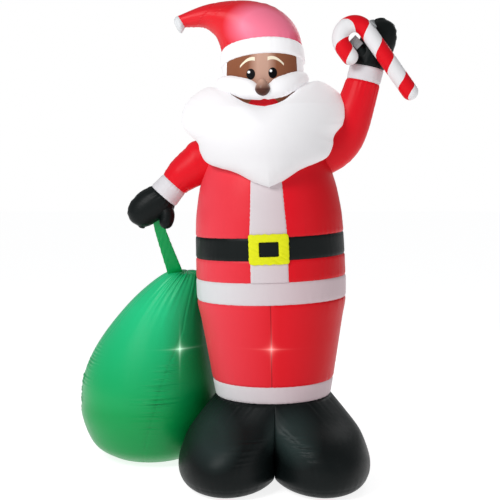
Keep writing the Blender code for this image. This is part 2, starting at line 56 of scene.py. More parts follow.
BUCKLE_WIDTH = 0.080 * HEIGHT
BUCKLE_OVERLAP = 0.0074 * HEIGHT
BUCKLE_SIDE_BORDER = 0.0205 * HEIGHT
BUCKLE_TOP_BORDER = 0.0156 * HEIGHT
BUCKLE_THICKNESS = 0.0041 * HEIGHT
STRIP_WIDTH = 0.0754 * HEIGHT
STRIP_TOP_WIDTH = 0.0557 * HEIGHT
STRIP_OFFSET = -0.0049 * HEIGHT
STRIP_TOP = 68.5
CANE_RADIUS = 0.0171 * HEIGHT
CANE_BEND_RADIUS = 0.0290 * HEIGHT
CANE_SHAFT = 0.1525 * HEIGHT
CANE_LEG = 0.0235 * HEIGHT
CANE_LEAN_DEG = 33.0
# Metres up the cane
STRIPE_EDGES = (-0.10, 0.0, 0.068, 0.169, 0.267, 0.372, 0.450, 0.561, 0.641, 0.741)
STRIPE_SLANT = 0.0625       # how much flatter the stripes run on the front than behind
TAB_WIDTH = 0.0185 * HEIGHT
TAB_THICKNESS = 0.0035 * HEIGHT
STRAP_WIDTH = 0.0254 * HEIGHT
STRAP_THICKNESS = 0.0041 * HEIGHT

BODY_DEPTH = 0.94
BODY_OUTLINE = [(17.9, 12.2), (23.7, 13.2), (33.4, 14.8), (38.6, 15.7), (46.0, 15.7), (54.0, 15.45),
                (58.0, 15.0), (62.7, 14.05), (68.4, 12.05), (72.2, 9.5), (74.6, 6.6)]
TROUSER_BAND_FOOT = 17.9
TROUSER_BAND_TOP = 21.4
COAT_BAND_FOOT = 38.5
COAT_BAND_TOP = 43.0
BELT_FOOT = 47.4
BELT_TOP = 51.95
NECK = 74.6

BOOT_SECTIONS = [(17.9, 0.0, 12.15, 0.0, 11.4, 0.0), (14.1, 3.2, 12.1, -0.8, 13.1, 0.03),
                 (10.7, 6.9, 11.0, -2.4, 15.1, 0.04), (7.8, 8.9, 10.3, -3.4, 16.1, 0.03),
                 (5.1, 9.5, 10.4, -3.8, 16.3, 0.03), (2.7, 9.2, 10.5, -3.9, 15.9, 0.03),
                 (0.9, 9.3, 9.3, -3.7, 14.7, 0.03), (0.0, 9.5, 7.0, -3.4, 12.8, 0.03)]

HEAD_OUTLINE = [(74.6, 6.4), (76.8, 7.6), (80.0, 8.35), (83.4, 8.5), (86.75, 8.4)]
FACE_PLANE = -4.2
FACE_TURN = -0.065
BAND_TOP = 90.0
BAND_OUTLINE = [(86.75, 8.5), (87.25, 8.8), (89.4, 8.6), (90.0, 8.3)]
HAT_TILT_DEG = 13.0
HAT_SHIFT = 0.35
HAT_CROWN = [(8.35, 90.0), (8.0, 92.6), (6.6, 95.6), (3.5, 98.5), (-0.6, 100.0), (-4.5, 100.45),
             (-8.2, 100.35), (-11.7, 99.8), (-16.65, 98.2)]
HAT_UNDER = [(-8.35, 90.0), (-8.6, 91.5), (-8.9, 92.6), (-9.3, 93.6), (-10.0, 94.4), (-10.8, 95.1),
             (-11.8, 95.55), (-13.4, 95.7), (-15.5, 95.8)]
HAT_DEPTH = [7.8, 7.7, 7.2, 6.3, 5.3, 4.3, 3.3, 2.5, 1.6]
TIP_CROWN = [(-16.65, 98.2), (-17.15, 97.95), (-17.5, 97.5)]
TIP_UNDER = [(-15.5, 95.8), (-15.8, 95.2), (-16.2, 94.65)]
TIP_DEPTH = [1.6, 1.7, 1.3]

# The moustache is taller than its solid and the beard's edge beside the mouth higher, to close the smile's ends
NOSE_MIDDLE = (-0.2, -9.3, 81.4)
NOSE_RADII = (1.5, 1.9, 1.35)
MOUSTACHE = [(0.0, -8.7, 80.4, 1.15, 1.3), (3.1, -8.3, 81.5, 2.0, 1.5), (5.4, -6.9, 82.45, 1.9, 1.5),
             (6.9, -5.1, 83.1, 1.7, 1.4), (8.3, -2.9, 83.4, 1.4, 1.2), (8.9, -1.2, 83.4, 0.8, 0.7)]

BEARD_MIDDLE = 73.8
BEARD_OUTLINE = [(0.0, 78.0), (3.6, 78.9), (6.3, 80.7), (7.9, 82.2), (9.6, 82.7), (11.7, 83.0),
                 (14.5, 81.6), (16.5, 79.5), (17.3, 76.6), (16.4, 74.0), (14.1, 71.6), (13.5, 69.3),
                 (12.3, 67.3), (10.0, 66.2), (6.5, 65.0), (3.0, 63.0), (0.0, 61.8)]
BEARD_SEAM = [(61.7, -13.3), (65.6, -12.3), (69.7, -10.7), (73.8, -9.6), (78.0, -8.4), (83.2, -4.1)]
BEARD_WRAP = 0.027
BEARD_FRONT = 7.1
BEARD_BACK = 3.6

LOWERED_UPPER = [(-8.0, 73.4), (-15.0, 72.0), (-17.0, 70.5), (-19.9, 67.9), (-21.8, 65.4), (-24.4, 63.1),
                 (-26.4, 62.1), (-28.6, 60.2), (-29.7, 57.9), (-29.2, 55.8), (-27.6, 54.5)]
LOWERED_UNDER = [(-8.0, 65.0), (-11.9, 63.4), (-13.4, 62.9), (-15.7, 61.95), (-17.4, 61.0), (-19.55, 58.4),
                 (-20.6, 57.0), (-22.3, 55.9), (-23.7, 55.3), (-24.9, 54.6), (-26.2, 54.2)]
LOWERED_DEPTH = [3.9, 3.9, 3.9, 3.6, 3.1, 3.2, 3.3, 3.2, 2.9, 2.2, 1.0]
LOWERED_SLEEVE_END = 4
LOWERED_CUFF_END = 5
LOWERED_THUMB = [(-21.9, -0.6, 58.4, 1.7, 1.7), (-21.3, -1.2, 57.0, 1.55, 1.55),
                 (-21.3, -1.4, 56.0, 1.5, 1.5), (-21.55, -1.5, 55.2, 1.45, 1.45)]
RAISED_UPPER = [(8.0, 71.3), (11.0, 72.4), (12.5, 73.7), (13.8, 75.8), (15.6, 79.1), (17.55, 83.3),
                (18.45, 86.1), (18.9, 87.6), (19.9, 89.6), (21.3, 91.9), (22.6, 93.6), (23.9, 94.45)]
RAISED_UNDER = [(11.5, 62.9), (16.5, 65.4), (19.6, 68.4), (21.5, 72.1), (23.05, 76.8), (24.4, 81.3),
                (25.4, 84.2), (26.8, 86.6), (27.95, 89.0), (28.45, 91.3), (28.0, 93.4), (26.3, 94.65)]
RAISED_DEPTH = [4.0, 4.2, 4.2, 4.0, 3.7, 3.4, 3.4, 3.3, 3.1, 2.8, 2.2, 1.0]
RAISED_SLEEVE_END = 5
RAISED_CUFF_END = 6
RAISED_THUMB = [(22.0, -0.8, 86.6, 1.5, 1.5), (21.0, -1.7, 87.9, 1.35, 1.35), (20.3, -2.2, 88.8, 1.15, 1.15),
                (19.9, -2.4, 89.3, 1.0, 1.0)]
CANE_BEND_MIDDLE = (19.2, -4.3, 90.7)
FINGER_TAB = [(2.9, -0.7), (2.3, -2.0), (2.0, -3.3), (1.92, -4.5), (1.6, -5.5)]
THUMB_TAB = [(20.3, -3.5, 89.1), (19.6, -3.6, 89.9), (18.8, -3.6, 90.8)]

SACK_AXIS = (-27.5, 14.9)
SACK_OUTLINE = [(0.0, 6.2), (0.9, 9.4), (3.7, 13.3), (9.4, 15.7), (14.0, 15.8), (18.6, 15.4), (25.0, 13.5),
                (32.3, 10.4), (38.0, 7.6), (42.3, 4.5), (43.1, 1.6)]
SACK_LEAN_FROM = 17.0
SACK_LEAN = (0.0125, -0.0095)
STRAP_PATH = [(-20.5, 7.5, 42.4), (-21.0, 5.9, 44.6), (-22.2, 3.0, 49.5), (-23.1, 0.6, 53.6),
              (-23.4, -0.4, 55.9)]
STRAP_TAPER = (1.3, 1.25, 1.05, 0.9, 0.85)

FINE = 0.008                # a panel's mesh size
SEAM_TUCK = 0.004           # how far a panel's edge dips into its seam
SEAM_REACH = 0.006
PUCKER_SHARE = 0.42         # of the folds' heights as they are given for each panel
CAP_LIFTS = np.radians((15, 30, 45, 60, 75, 86))      # the rows that round off an end

WEAVE_SCALE = 160.0
BUMP_DISTANCE = 0.004

# Colours, linear: the cloth's own, and the painted light and shade noted above them
RED = (0.70, 0.004, 0.012)
WHITE = (0.76, 0.755, 0.77)
# Painted shade on the beard's lower part
BEARD_PAINTED_SHADE = (0.58, 0.57, 0.585)
# A painted highlight high on the boots
BOOT_PAINTED_HIGHLIGHT = (0.022, 0.038, 0.036)
# The three below are WHITE made greyer, as painted shade where less light reaches; the second is darker and
# pinker still, as painted shade towards the viewer's right
TRIM_LEFT = (0.66, 0.675, 0.69)
TRIM_PAINTED_SHADE = (0.62, 0.49, 0.52)
CUFF = (0.66, 0.645, 0.67)
# The next two: painted light on the red cloth's left and painted shade on its right
RED_PAINTED_HIGHLIGHT = (0.80, 0.085, 0.115)
RED_PAINTED_SHADE = (0.50, 0.0015, 0.004)
SEAM_RED = (0.18, 0.001, 0.003)
# The next two: painted light high on the sack, and painted shade on its side towards the body and at its foot
SACK_PAINTED_HIGHLIGHT = (0.02, 0.68, 0.30)
SACK_PAINTED_SHADE = (0.0, 0.17, 0.03)
BLACK = (0.003, 0.005, 0.005)
GREEN = (0.0005, 0.33, 0.075)
YELLOW = (0.72, 0.74, 0.006)
SKIN = (0.24, 0.085, 0.042)
# A painted highlight down the face's middle
FACE_PAINTED_HIGHLIGHT = (0.66, 0.42, 0.33)
# Painted light on the top of the nose
NOSE_PAINTED_HIGHLIGHT = (0.60, 0.36, 0.27)
# The nose's brown, partly its own and partly painted shade
DARK_SKIN = (0.070, 0.022, 0.014)
EYE_BLACK = (0.002, 0.002, 0.003)
BROW = (0.90, 0.80, 0.62)
LIP = (0.66, 0.012, 0.02)
# A painted sheen on the hat's front, and the hat's red running pinker towards the viewer's right
HAT_PAINTED_SHEEN = (1.0, 0.27, 0.42)
HAT_FAR_SIDE = (0.80, 0.012, 0.10)
PALER_RED = (0.76, 0.010, 0.024)
PALER_WHITE = (0.79, 0.785, 0.80)
PALER_GREEN = (0.001, 0.38, 0.10)
PALER_BLACK = (0.006, 0.010, 0.010)
PALER_CUFF = (0.70, 0.685, 0.71)
PALER_TRIM = (0.69, 0.70, 0.715)
PALER_YELLOW = (0.78, 0.80, 0.02)
PALER_SKIN = (0.30, 0.115, 0.060)
PALER_NOSE = (0.10, 0.034, 0.022)
TAPE = (0.24, 0.25, 0.26)
PALER_TAPE = (0.50, 0.51, 0.53)

# Prints, painted highlights and sheen, and lamps: places in hundredths of the upright figure, sizes in metres
MIDDLE_OF_FACE = (-0.2, 83.0)
EYES = ((-2.55, 83.64), (1.88, 83.6))
EYE_WIDTH = 0.043
EYE_HEIGHT = 0.053
GLINT = 0.013
LEFT_BROW = ((-4.71, 85.1), (-3.2, 85.95), (-1.65, 85.95))
RIGHT_BROW = ((4.18, 84.95), (2.7, 85.85), (0.86, 85.85))
BROW_THICKNESS = (0.011, 0.019)
LIPS = (-0.1, 78.3)
LIPS_WIDTH = 0.150
LIPS_HEIGHT = 0.085
HAT_SHEEN = (1.2, -7.0, 93.0)
BOOT_GLEAMS = ((-0.303, 0.285), (0.082, 0.290))             # metres from the origin
TOE_SEAM = 0.24             # its turn from straight ahead, towards the other boot
SACK_SEAM = ((0.0, -6.0), (0.45, 12.0), (0.75, 30.0))       # height, and degrees from straight ahead
FRONT_TURN = 1.5 * math.pi  # the turn at which the cane's front faces the viewer
LAMP_SIZE = 0.022
TROUSER_LAMP = (STRIP_OFFSET, -0.33, 0.720)                 # metres in the upright figure
SACK_LAMP = (-0.4935, 0.0, 0.651)
TROUSER_GLOW = (1.0, 0.55, 0.5)
SACK_GLOW = (0.75, 1.0, 0.8)


# Shapes

def sway(p):
    """Where points of the upright figure are once the figure leans."""
    share = p[..., 2] / HEIGHT
    angle = np.arctan(2 * SWAY * share / HEIGHT)
    x = p[..., 0] * np.cos(angle) - SWAY * share * share
    return np.stack([x, p[..., 1], p[..., 2] + p[..., 0] * np.sin(angle)], -1)


def tilt_hat(p):
    share = np.interp(p[..., 2] / PERCENT, (80.0, BAND_OUTLINE[0][0], BAND_TOP, 99.0), (0, 1, 1, 0))
    rise = -p[..., 1] * math.tan(math.radians(HAT_TILT_DEG)) * share
    return sway(np.stack([p[..., 0] + HAT_SHIFT * PERCENT * share, p[..., 1], p[..., 2] + rise], -1))


def sack_lean(p):
    rise = np.maximum(0.0, p[..., 2] / PERCENT - SACK_LEAN_FROM)
    x = (SACK_AXIS[0] + SACK_LEAN[0] * rise * rise) * PERCENT + p[..., 0]
    y = (SACK_AXIS[1] + SACK_LEAN[1] * rise * rise) * PERCENT + p[..., 1]
    return np.stack([x, y, p[..., 2]], -1)


BELT_BOX = np.array(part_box("belt"))
BELT_MIDDLE = BELT_BOX.mean(0)
ORIGIN = np.array([BELT_MIDDLE[0] - sway(np.array([0.0, 0.0, BELT_MIDDLE[2]]))[0], BELT_MIDDLE[1], 0.0])


def through(points, count):
    """Points on a smooth curve through the given ones, with the same number of steps between each two."""
    given = np.array(points, float)
    ends = np.vstack([2 * given[0] - given[1], given, 2 * given[-1] - given[-2]])
    steps = np.linspace(0, len(given) - 1, count)
    first = np.minimum(steps.astype(int), len(given) - 2)
    t = (steps - first)[:, None]
    a, b, c, d = (ends[first + i] for i in range(4))
    return b + (t * (c - a) + t * t * (2 * a - 5 * b + 4 * c - d) + t ** 3 * (3 * b - a - 3 * c + d)) / 2


def along_curve(points, count):
    """The same curve in even steps of length."""
    fine = through(points, 40 * len(points))
    walked = np.concatenate([[0], np.cumsum(np.linalg.norm(np.diff(fine[:, :3], axis=0), axis=1))])
    places = np.linspace(0, walked[-1], count)
    return np.stack([np.interp(places, walked, column) for column in fine.T], -1)


def normals_of(p):
    """Unit normals of a grid of points that closes round its columns, on the outer side as a whole."""
    around = np.roll(p, -1, 1) - np.roll(p, 1, 1)
    n = np.cross(around, np.gradient(p, axis=0))
    n /= np.maximum(np.linalg.norm(n, axis=-1, keepdims=True), 1e-12)
    outward = (n * (p - p.mean((0, 1)))).sum()
    return n if outward > 0 else -n


def push(p, height):
    return p + normals_of(p) * height[..., None]


def ripples(along, seed, pitch, count=7):
    """An uneven wave of about that pitch, between -1 and 1 for the most part."""
    draw = np.random.default_rng(seed)
    total = np.zeros_like(along)
    for _ in range(count):
        total = total + np.sin(along * 2 * math.pi / pitch * draw.uniform(0.55, 1.7) + draw.uniform(0, 6.3))
    return total / math.sqrt(count)


def puckers(along, away, seed, height=0.0022, reach=0.035, pitch=0.045):
    """The short folds that stitching draws into cloth: along and away are metres along and from a seam."""
    away = np.abs(away)
    height = height * PUCKER_SHARE
    length = reach * (1 + 0.45 * ripples(along, seed + 1, pitch * 3))
    return height * ripples(along, seed, pitch) * np.exp(-(away / np.maximum(length, reach * 0.25)) ** 1.5)


def groove(away, depth=SEAM_TUCK, reach=SEAM_REACH):
    return -depth * np.exp(-(away / reach) ** 2)


def smooth_object(name, points, faces, material):
    mesh = bpy.data.meshes.new(name)
    mesh.from_pydata(points.tolist(), [], faces)
    mesh.materials.append(material)
    mesh.shade_smooth()
    obj = bpy.data.objects.new(name, mesh)
    bpy.context.scene.collection.objects.link(obj)
    return obj


def away_from(turn, where):
    """How far one turn is from another, the short way round."""
    return np.mod(turn - where + math.pi, 2 * math.pi) - math.pi


def closed_mesh(name, p, material, uv=None):
    """A mesh over a grid that closes round its columns, its first and last row each to a point."""
    rows, cols = p.shape[:2]
    points = np.concatenate([p.reshape(-1, 3), [p[0].mean(0)], [p[-1].mean(0)]])
    i, j = np.meshgrid(np.arange(rows - 1), np.arange(cols), indexing="ij")
    k = (j + 1) % cols
    quads = np.stack([i * cols + j, i * cols + k, (i + 1) * cols + k, (i + 1) * cols + j], -1).reshape(-1, 4)
    ring = np.arange(cols)
    after = (ring + 1) % cols
    low = np.stack([after, ring, np.full(cols, rows * cols)], -1)
    high = np.stack([(rows - 1) * cols + ring, (rows - 1) * cols + after, np.full(cols, rows * cols + 1)], -1)
    # the two ends aren't in this sum, so it leaves the head, face, hat_tip and lowered_mitten inside out
    triangles = np.concatenate([quads[:, (0, 1, 2)], quads[:, (0, 2, 3)]])
    a, b, c = (points[triangles[:, corner]] for corner in range(3))
    faces = quads.tolist() + low.tolist() + high.tolist()
    if np.einsum("ij,ij->i", a, np.cross(b, c)).sum() < 0:
        faces = [face[::-1] for face in faces]
    obj = smooth_object(name, points, faces, material)
    mesh = obj.data
    if uv is not None:
        layer = mesh.uv_layers.new(name="cloth")
        values = np.concatenate([uv.reshape(-1, 2), [uv[0].mean(0)], [uv[-1].mean(0)]])
        index = np.zeros(len(mesh.loops), int)
        mesh.loops.foreach_get("vertex_index", index)
        made = values[index]
        # a face across the last column runs on to the next turn
        start = np.zeros(len(mesh.polygons), int)
        total = np.zeros(len(mesh.polygons), int)
        mesh.polygons.foreach_get("loop_start", start)
        mesh.polygons.foreach_get("loop_total", total)
        for s, n in zip(start, total):
            turn = made[s:s + n, 0]
            if turn.max() - turn.min() > 0.5:
                turn[turn < 0.5] += 1.0
        layer.data.foreach_set("uv", made.ravel())
    return obj


def attach(obj, node):
    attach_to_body(obj, "root")
    if node:
        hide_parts(node)


def piece(name, p, material, node, uv=None, place=sway):
    """One finished piece of the figure, from a grid of points in the upright figure."""
    attach(closed_mesh(name, place(p) + ORIGIN, material, uv), node)


# Cloth

def nodes_of(material):
    tree = material.node_tree
    return tree.nodes, tree.links, tree.nodes["Principled BSDF"]


def math_node(material, operation, a, b=None, c=None, clamp=False):
    nodes, links, _ = nodes_of(material)
    node = nodes.new("ShaderNodeMath")
    node.operation = operation
    node.use_clamp = clamp
    for i, value in enumerate((a, b, c)):
        if value is None:
            continue
        if isinstance(value, (int, float)):
            node.inputs[i].default_value = value
        else:
            links.new(value, node.inputs[i])
    return node.outputs[0]


def mix_colour(material, share, a, b):
    nodes, links, _ = nodes_of(material)
    node = nodes.new("ShaderNodeMix")
    node.data_type = "RGBA"
    for socket, value in ((node.inputs[0], share), (node.inputs[6], a), (node.inputs[7], b)):
        if isinstance(value, (int, float)):
            socket.default_value = value
        elif isinstance(value, tuple):
            socket.default_value = (*value, 1)
        else:
            links.new(value, socket)
    return node.outputs[2]


def paint(material, colour):
    _, links, shader = nodes_of(material)
    links.new(colour, shader.inputs["Base Color"])


def position(material):
    """Object coordinates, which are metres in the frame, as x, y, z."""
    nodes, links, _ = nodes_of(material)
    place = nodes.new("ShaderNodeTexCoord")
    split = nodes.new("ShaderNodeSeparateXYZ")
    links.new(place.outputs["Object"], split.inputs[0])
    return place.outputs["Object"], split.outputs[0], split.outputs[1], split.outputs[2]


def noise(material, vector, scale, detail=3.0, roughness=0.55):
    nodes, links, _ = nodes_of(material)
    node = nodes.new("ShaderNodeTexNoise")
    node.inputs["Scale"].default_value = scale
    node.inputs["Detail"].default_value = detail
    node.inputs["Roughness"].default_value = roughness
    links.new(vector, node.inputs["Vector"])
    return node.outputs["Fac"]


def cloth(name, colour, paler, roughness=0.40, gloss=0.22, crease=0.22):
    """Thin woven polyester: a fine weave, faint creases and a slightly uneven colour."""
    material = bpy.data.materials.new(name)
    material.use_nodes = True
    nodes, links, shader = nodes_of(material)
    shader.inputs["Specular IOR Level"].default_value = gloss
    vector, _, _, _ = position(material)
    patchy = noise(material, vector, 3.5, 4.0)
    share = math_node(material, "MULTIPLY_ADD", patchy, 0.9, -0.28, True)
    colour_out = mix_colour(material, share, colour, paler)
    links.new(colour_out, shader.inputs["Base Color"])
    rough = math_node(material, "MULTIPLY_ADD", noise(material, vector, 14.0, 3.0), 0.16, roughness - 0.08)
    links.new(rough, shader.inputs["Roughness"])
    weave_x = nodes.new("ShaderNodeTexWave")
    weave_z = nodes.new("ShaderNodeTexWave")
    for wave, direction in ((weave_x, "X"), (weave_z, "Z")):
        wave.bands_direction = direction
        wave.inputs["Scale"].default_value = WEAVE_SCALE
        wave.inputs["Distortion"].default_value = 0.6
        links.new(vector, wave.inputs["Vector"])
    weave = math_node(material, "MULTIPLY", weave_x.outputs["Fac"], weave_z.outputs["Fac"])
    creases = noise(material, vector, 22.0, 5.0, 0.6)
    height = math_node(material, "MULTIPLY_ADD", creases, 1.0, math_node(material, "MULTIPLY", weave, 0.12))
    bump = nodes.new("ShaderNodeBump")
    bump.inputs["Strength"].default_value = crease
    bump.inputs["Distance"].default_value = BUMP_DISTANCE
    links.new(height, bump.inputs["Height"])
    links.new(bump.outputs["Normal"], shader.inputs["Normal"])
    return material, colour_out


def glow(material, middle, colour, strength, size=LAMP_SIZE):
    """The lamp inside shows through the cloth as a spot with four short rays."""
    _, links, shader = nodes_of(material)
    _, x, y, z = position(material)
    dx = math_node(material, "ABSOLUTE", math_node(material, "SUBTRACT", x, float(middle[0])))
    dz = math_node(material, "ABSOLUTE", math_node(material, "SUBTRACT", z, float(middle[2])))
    front = math_node(material, "LESS_THAN", y, float(middle[1]))

    def fall(distance, reach):
        return math_node(material, "POWER", 2.7, math_node(material, "MULTIPLY", distance, -1.0 / reach))

    core = math_node(material, "MULTIPLY", fall(dx, size * 0.55), fall(dz, size * 0.55))
    flat_ray = math_node(material, "MULTIPLY", fall(dx, size * 1.6), fall(dz, size * 0.16))
    tall_ray = math_node(material, "MULTIPLY", fall(dx, size * 0.16), fall(dz, size * 2.0))
    rays = math_node(material, "MAXIMUM", flat_ray, tall_ray)
    both = math_node(material, "MULTIPLY_ADD", rays, 0.55, core)
    total = math_node(material, "MULTIPLY", math_node(material, "MULTIPLY", both, front), strength)
    shader.inputs["Emission Color"].default_value = (*colour, 1)
    links.new(total, shader.inputs["Emission Strength"])


red, red_colour = cloth("red_cloth", RED, PALER_RED, 0.40, 0.14)
sleeve_cloth, _ = cloth("sleeve_cloth", RED, PALER_RED, 0.40, 0.14)
hat_cloth, hat_colour = cloth("hat_cloth", RED, PALER_RED, 0.44, 0.30)
white, _ = cloth("white_cloth", WHITE, PALER_WHITE, 0.5, 0.12)
beard_cloth, beard_colour = cloth("beard_cloth", WHITE, PALER_WHITE, 0.5, 0.12)
cuff_cloth, _ = cloth("cuff_cloth", CUFF, PALER_CUFF, 0.5, 0.12)
trim, trim_colour = cloth("trim_cloth", TRIM_LEFT, PALER_TRIM, 0.5, 0.12)
black, _ = cloth("black_cloth", BLACK, PALER_BLACK, 0.44, 0.15)
boot_cloth, boot_colour = cloth("boot_cloth", BLACK, PALER_BLACK, 0.42, 0.14)
green, _ = cloth("green_cloth", GREEN, PALER_GREEN, 0.34, 0.25)
yellow, _ = cloth("yellow_cloth", YELLOW, PALER_YELLOW, 0.5, 0.15, 0.5)
grey, _ = cloth("grey_tape", TAPE, PALER_TAPE, 0.6, 0.2, 0.8)
skin, skin_colour = cloth("skin_cloth", SKIN, PALER_SKIN, 0.36, 0.08)
nose_cloth, nose_colour = cloth("nose_cloth", DARK_SKIN, PALER_NOSE, 0.32, 0.2)
trouser_cloth, trouser_colour = cloth("trouser_cloth", RED, PALER_RED, 0.40, 0.14)
sack_cloth, sack_colour = cloth("sack_cloth", GREEN, PALER_GREEN, 0.34, 0.25)
striped, striped_colour = cloth("striped_cloth", WHITE, PALER_WHITE, 0.45, 0.12)


def lit_through(material, strength):
    """A painted glow: white cloth gets a faint even emission for a little of the lamps' light coming through
    it.
    """
    _, _, shader = nodes_of(material)
    shader.inputs["Emission Color"].default_value = (1.0, 0.99, 1.0, 1)
    shader.inputs["Emission Strength"].default_value = strength


lit_through(white, 0.20)
lit_through(beard_cloth, 0.21)


def shaded(material, colour, other, start, end, axis, most=1.0):
    """Runs the cloth's colour into another between two places along x, axis 0, or z, axis 2."""
    place = position(material)[1 + axis]
    from_start = math_node(material, "SUBTRACT", place, float(ORIGIN[axis] + start))
    share = math_node(material, "MULTIPLY", from_start, 1 / (end - start), clamp=True)
    mixed = mix_colour(material, math_node(material, "MULTIPLY", share, most), colour, other)
    paint(material, mixed)
    return mixed


# Painted shade: the beard greyer towards its foot
shaded(beard_cloth, beard_colour, BEARD_PAINTED_SHADE, 0.79 * HEIGHT, 0.68 * HEIGHT, 2)
# Painted shade: the trim greyer and pinker towards the viewer's right
shaded(trim, trim_colour, TRIM_PAINTED_SHADE, -0.36, 0.12, 0)


def lit_from_the_side(material, colour):
    """Deeper to the viewer's right and paler to the left, as the photograph's light has it."""
    colour = shaded(material, colour, RED_PAINTED_SHADE, 0.05, 0.38, 0, 0.7)
    return shaded(material, colour, RED_PAINTED_HIGHLIGHT, 0.02, -0.40, 0, 0.7)


lit_from_the_side(red, red_colour)
trouser_colour = lit_from_the_side(trouser_cloth, trouser_colour)


def stitch_trousers(colour):
    """The dark line of the seam down the trousers' front, which leans with the figure."""
    _, x, y, z = position(trouser_cloth)
    seam_x = math_node(trouser_cloth, "MULTIPLY_ADD", math_node(trouser_cloth, "MULTIPLY", z, z),
                       -SWAY / HEIGHT ** 2, float(ORIGIN[0] + STRIP_OFFSET))
    off = math_node(trouser_cloth, "ABSOLUTE", math_node(trouser_cloth, "SUBTRACT", x, seam_x))
    near = math_node(trouser_cloth, "MULTIPLY_ADD", off, -1 / 0.002, 1.6, True)
    front = math_node(trouser_cloth, "LESS_THAN", y, float(ORIGIN[1]))
    share = math_node(trouser_cloth, "MULTIPLY", math_node(trouser_cloth, "MULTIPLY", near, front), 0.7)
    paint(trouser_cloth, mix_colour(trouser_cloth, share, colour, SEAM_RED))


stitch_trousers(trouser_colour)
# Painted light high on the sack, and painted shade towards the body and towards its foot
sack_colour = shaded(sack_cloth, sack_colour, SACK_PAINTED_HIGHLIGHT, 0.30, 0.85, 2, 0.65)
sack_colour = shaded(sack_cloth, sack_colour, SACK_PAINTED_SHADE, -0.58, -0.36, 0, 0.9)
sack_colour = shaded(sack_cloth, sack_colour, SACK_PAINTED_SHADE, 0.36, 0.0, 2, 0.6)


# The body

def body_radius(heights):
    curve = through(BODY_OUTLINE, 40 * len(BODY_OUTLINE))
    return np.interp(heights, curve[:, 0], curve[:, 1]) * PERCENT


def body_grid(foot, top, around=288):
    """Points of the body between two heights: the grid, the angle from the front, and the height."""
    rows = max(6, int((top - foot) * PERCENT / FINE))
    edge = np.array([0, 0.0015, 0.004, 0.008]) / ((top - foot) * PERCENT)
    levels = np.unique(np.concatenate([edge, np.linspace(0, 1, rows)[1:-1], 1 - edge]))
    z = foot + (top - foot) * levels
    angle = np.linspace(-math.pi, math.pi, around, endpoint=False)
    radius = body_radius(z)[:, None]
    x = radius * np.sin(angle)[None]
    y = -radius * np.cos(angle)[None] * BODY_DEPTH
    grid = np.stack([x, y, np.broadcast_to((z * PERCENT)[:, None], x.shape)], -1)
    return grid, np.broadcast_to(angle, x.shape), np.broadcast_to((z * PERCENT)[:, None], x.shape)


def body_panel(name, foot, top, material, seed, upright_seams=(), pucker=0.0020, strip=None):
    """A panel round the whole body. strip is the foot width, top width and top of a strip over its front."""
    grid, angle, z = body_grid(foot, top)
    around = angle * body_radius(foot)
    low, high = z - foot * PERCENT, top * PERCENT - z
    height = groove(low) + groove(high)
    height += puckers(around, low, seed, pucker) + puckers(around, high, seed + 5, pucker)
    for k, (where, strength) in enumerate(upright_seams):
        away = away_from(angle, where) * body_radius(foot)
        height += groove(away, 0.0030 * strength, 0.004)
        height += puckers(z, away, seed + 11 + k, 0.0016 * strength, 0.03, 0.035)
    if strip:
        share = (z / PERCENT - foot) / (strip[2] - foot)
        half = (strip[0] + (strip[1] - strip[0]) * share) / 2
        inside = np.clip((half - np.abs(grid[..., 0] - STRIP_OFFSET)) / 0.012, 0, 1)
        inside = inside * (grid[..., 1] < 0) * (share < 1)
        height = height * (1 - inside) - 0.006 * inside
    piece(name, push(grid, height), material, name)


SIDE_SEAMS = ((math.pi / 2, 0.8), (-math.pi / 2, 0.8), (math.pi, 0.8))
FRONT_SEAM = (math.asin(STRIP_OFFSET / 0.36), 1.5)

body_panel("trouser_band", TROUSER_BAND_FOOT, TROUSER_BAND_TOP, trim, 10, (SIDE_SEAMS[2],))
body_panel("trousers", TROUSER_BAND_TOP, COAT_BAND_FOOT, trouser_cloth, 20,
           (FRONT_SEAM, *SIDE_SEAMS))
body_panel("coat_band", COAT_BAND_FOOT, COAT_BAND_TOP, trim, 30, (SIDE_SEAMS[2],))
body_panel("coat_skirt", COAT_BAND_TOP, BELT_FOOT, red, 40, SIDE_SEAMS,
           strip=(STRIP_WIDTH, STRIP_WIDTH, BELT_FOOT + 1))
body_panel("belt", BELT_FOOT, BELT_TOP, black, 50, (SIDE_SEAMS[2],), 0.0012)
body_panel("coat", BELT_TOP, NECK, red, 60, SIDE_SEAMS,
           strip=(STRIP_WIDTH, STRIP_TOP_WIDTH, STRIP_TOP))


def wrapped_patch(name, foot, top, width_low, width_top, material, seed, proud=0.0025, sunk=0.012):
    """A panel let into the body's front: a thin pillow over the surface, its edges down in the seam."""
    rows = max(12, int((top - foot) * PERCENT / 0.006))
    cols = 40
    across = np.sin(np.linspace(-1, 1, cols) * math.pi / 2)
    z = np.linspace(foot, top, rows)
    share = (z - foot) / (top - foot)
    half = (width_low * (1 - share) + width_top * share)[:, None] / 2
    x = STRIP_OFFSET + half * across[None]
    radius = body_radius(z)[:, None]
    heights = np.broadcast_to((z * PERCENT)[:, None], x.shape)
    away = half * (1 - np.abs(across[None]))
    ends = np.minimum(heights - foot * PERCENT, top * PERCENT - heights)
    side = np.sign(across[None]) * 10
    lift = proud + groove(away, 0.0035, 0.004) + puckers(heights + side, away, seed, 0.0016, 0.022, 0.03)
    lift = lift + groove(ends, 0.0012, 0.003) + puckers(x, ends, seed + 3, 0.0016, 0.022, 0.03)

    def layer(offset):
        r = radius + offset
        return np.stack([x, -BODY_DEPTH * np.sqrt(np.maximum(r * r - x * x, 0)), heights], -1)

    front, back = layer(lift), layer(-sunk + 0 * x)
    ring = np.concatenate([front, back[:, ::-1]], 1)
    piece(name, ring, material, name)


wrapped_patch("skirt_strip", COAT_BAND_TOP, BELT_FOOT, STRIP_WIDTH, STRIP_WIDTH, trim, 70)
wrapped_patch("coat_strip", BELT_TOP, STRIP_TOP, STRIP_WIDTH, STRIP_TOP_WIDTH, trim, 80)


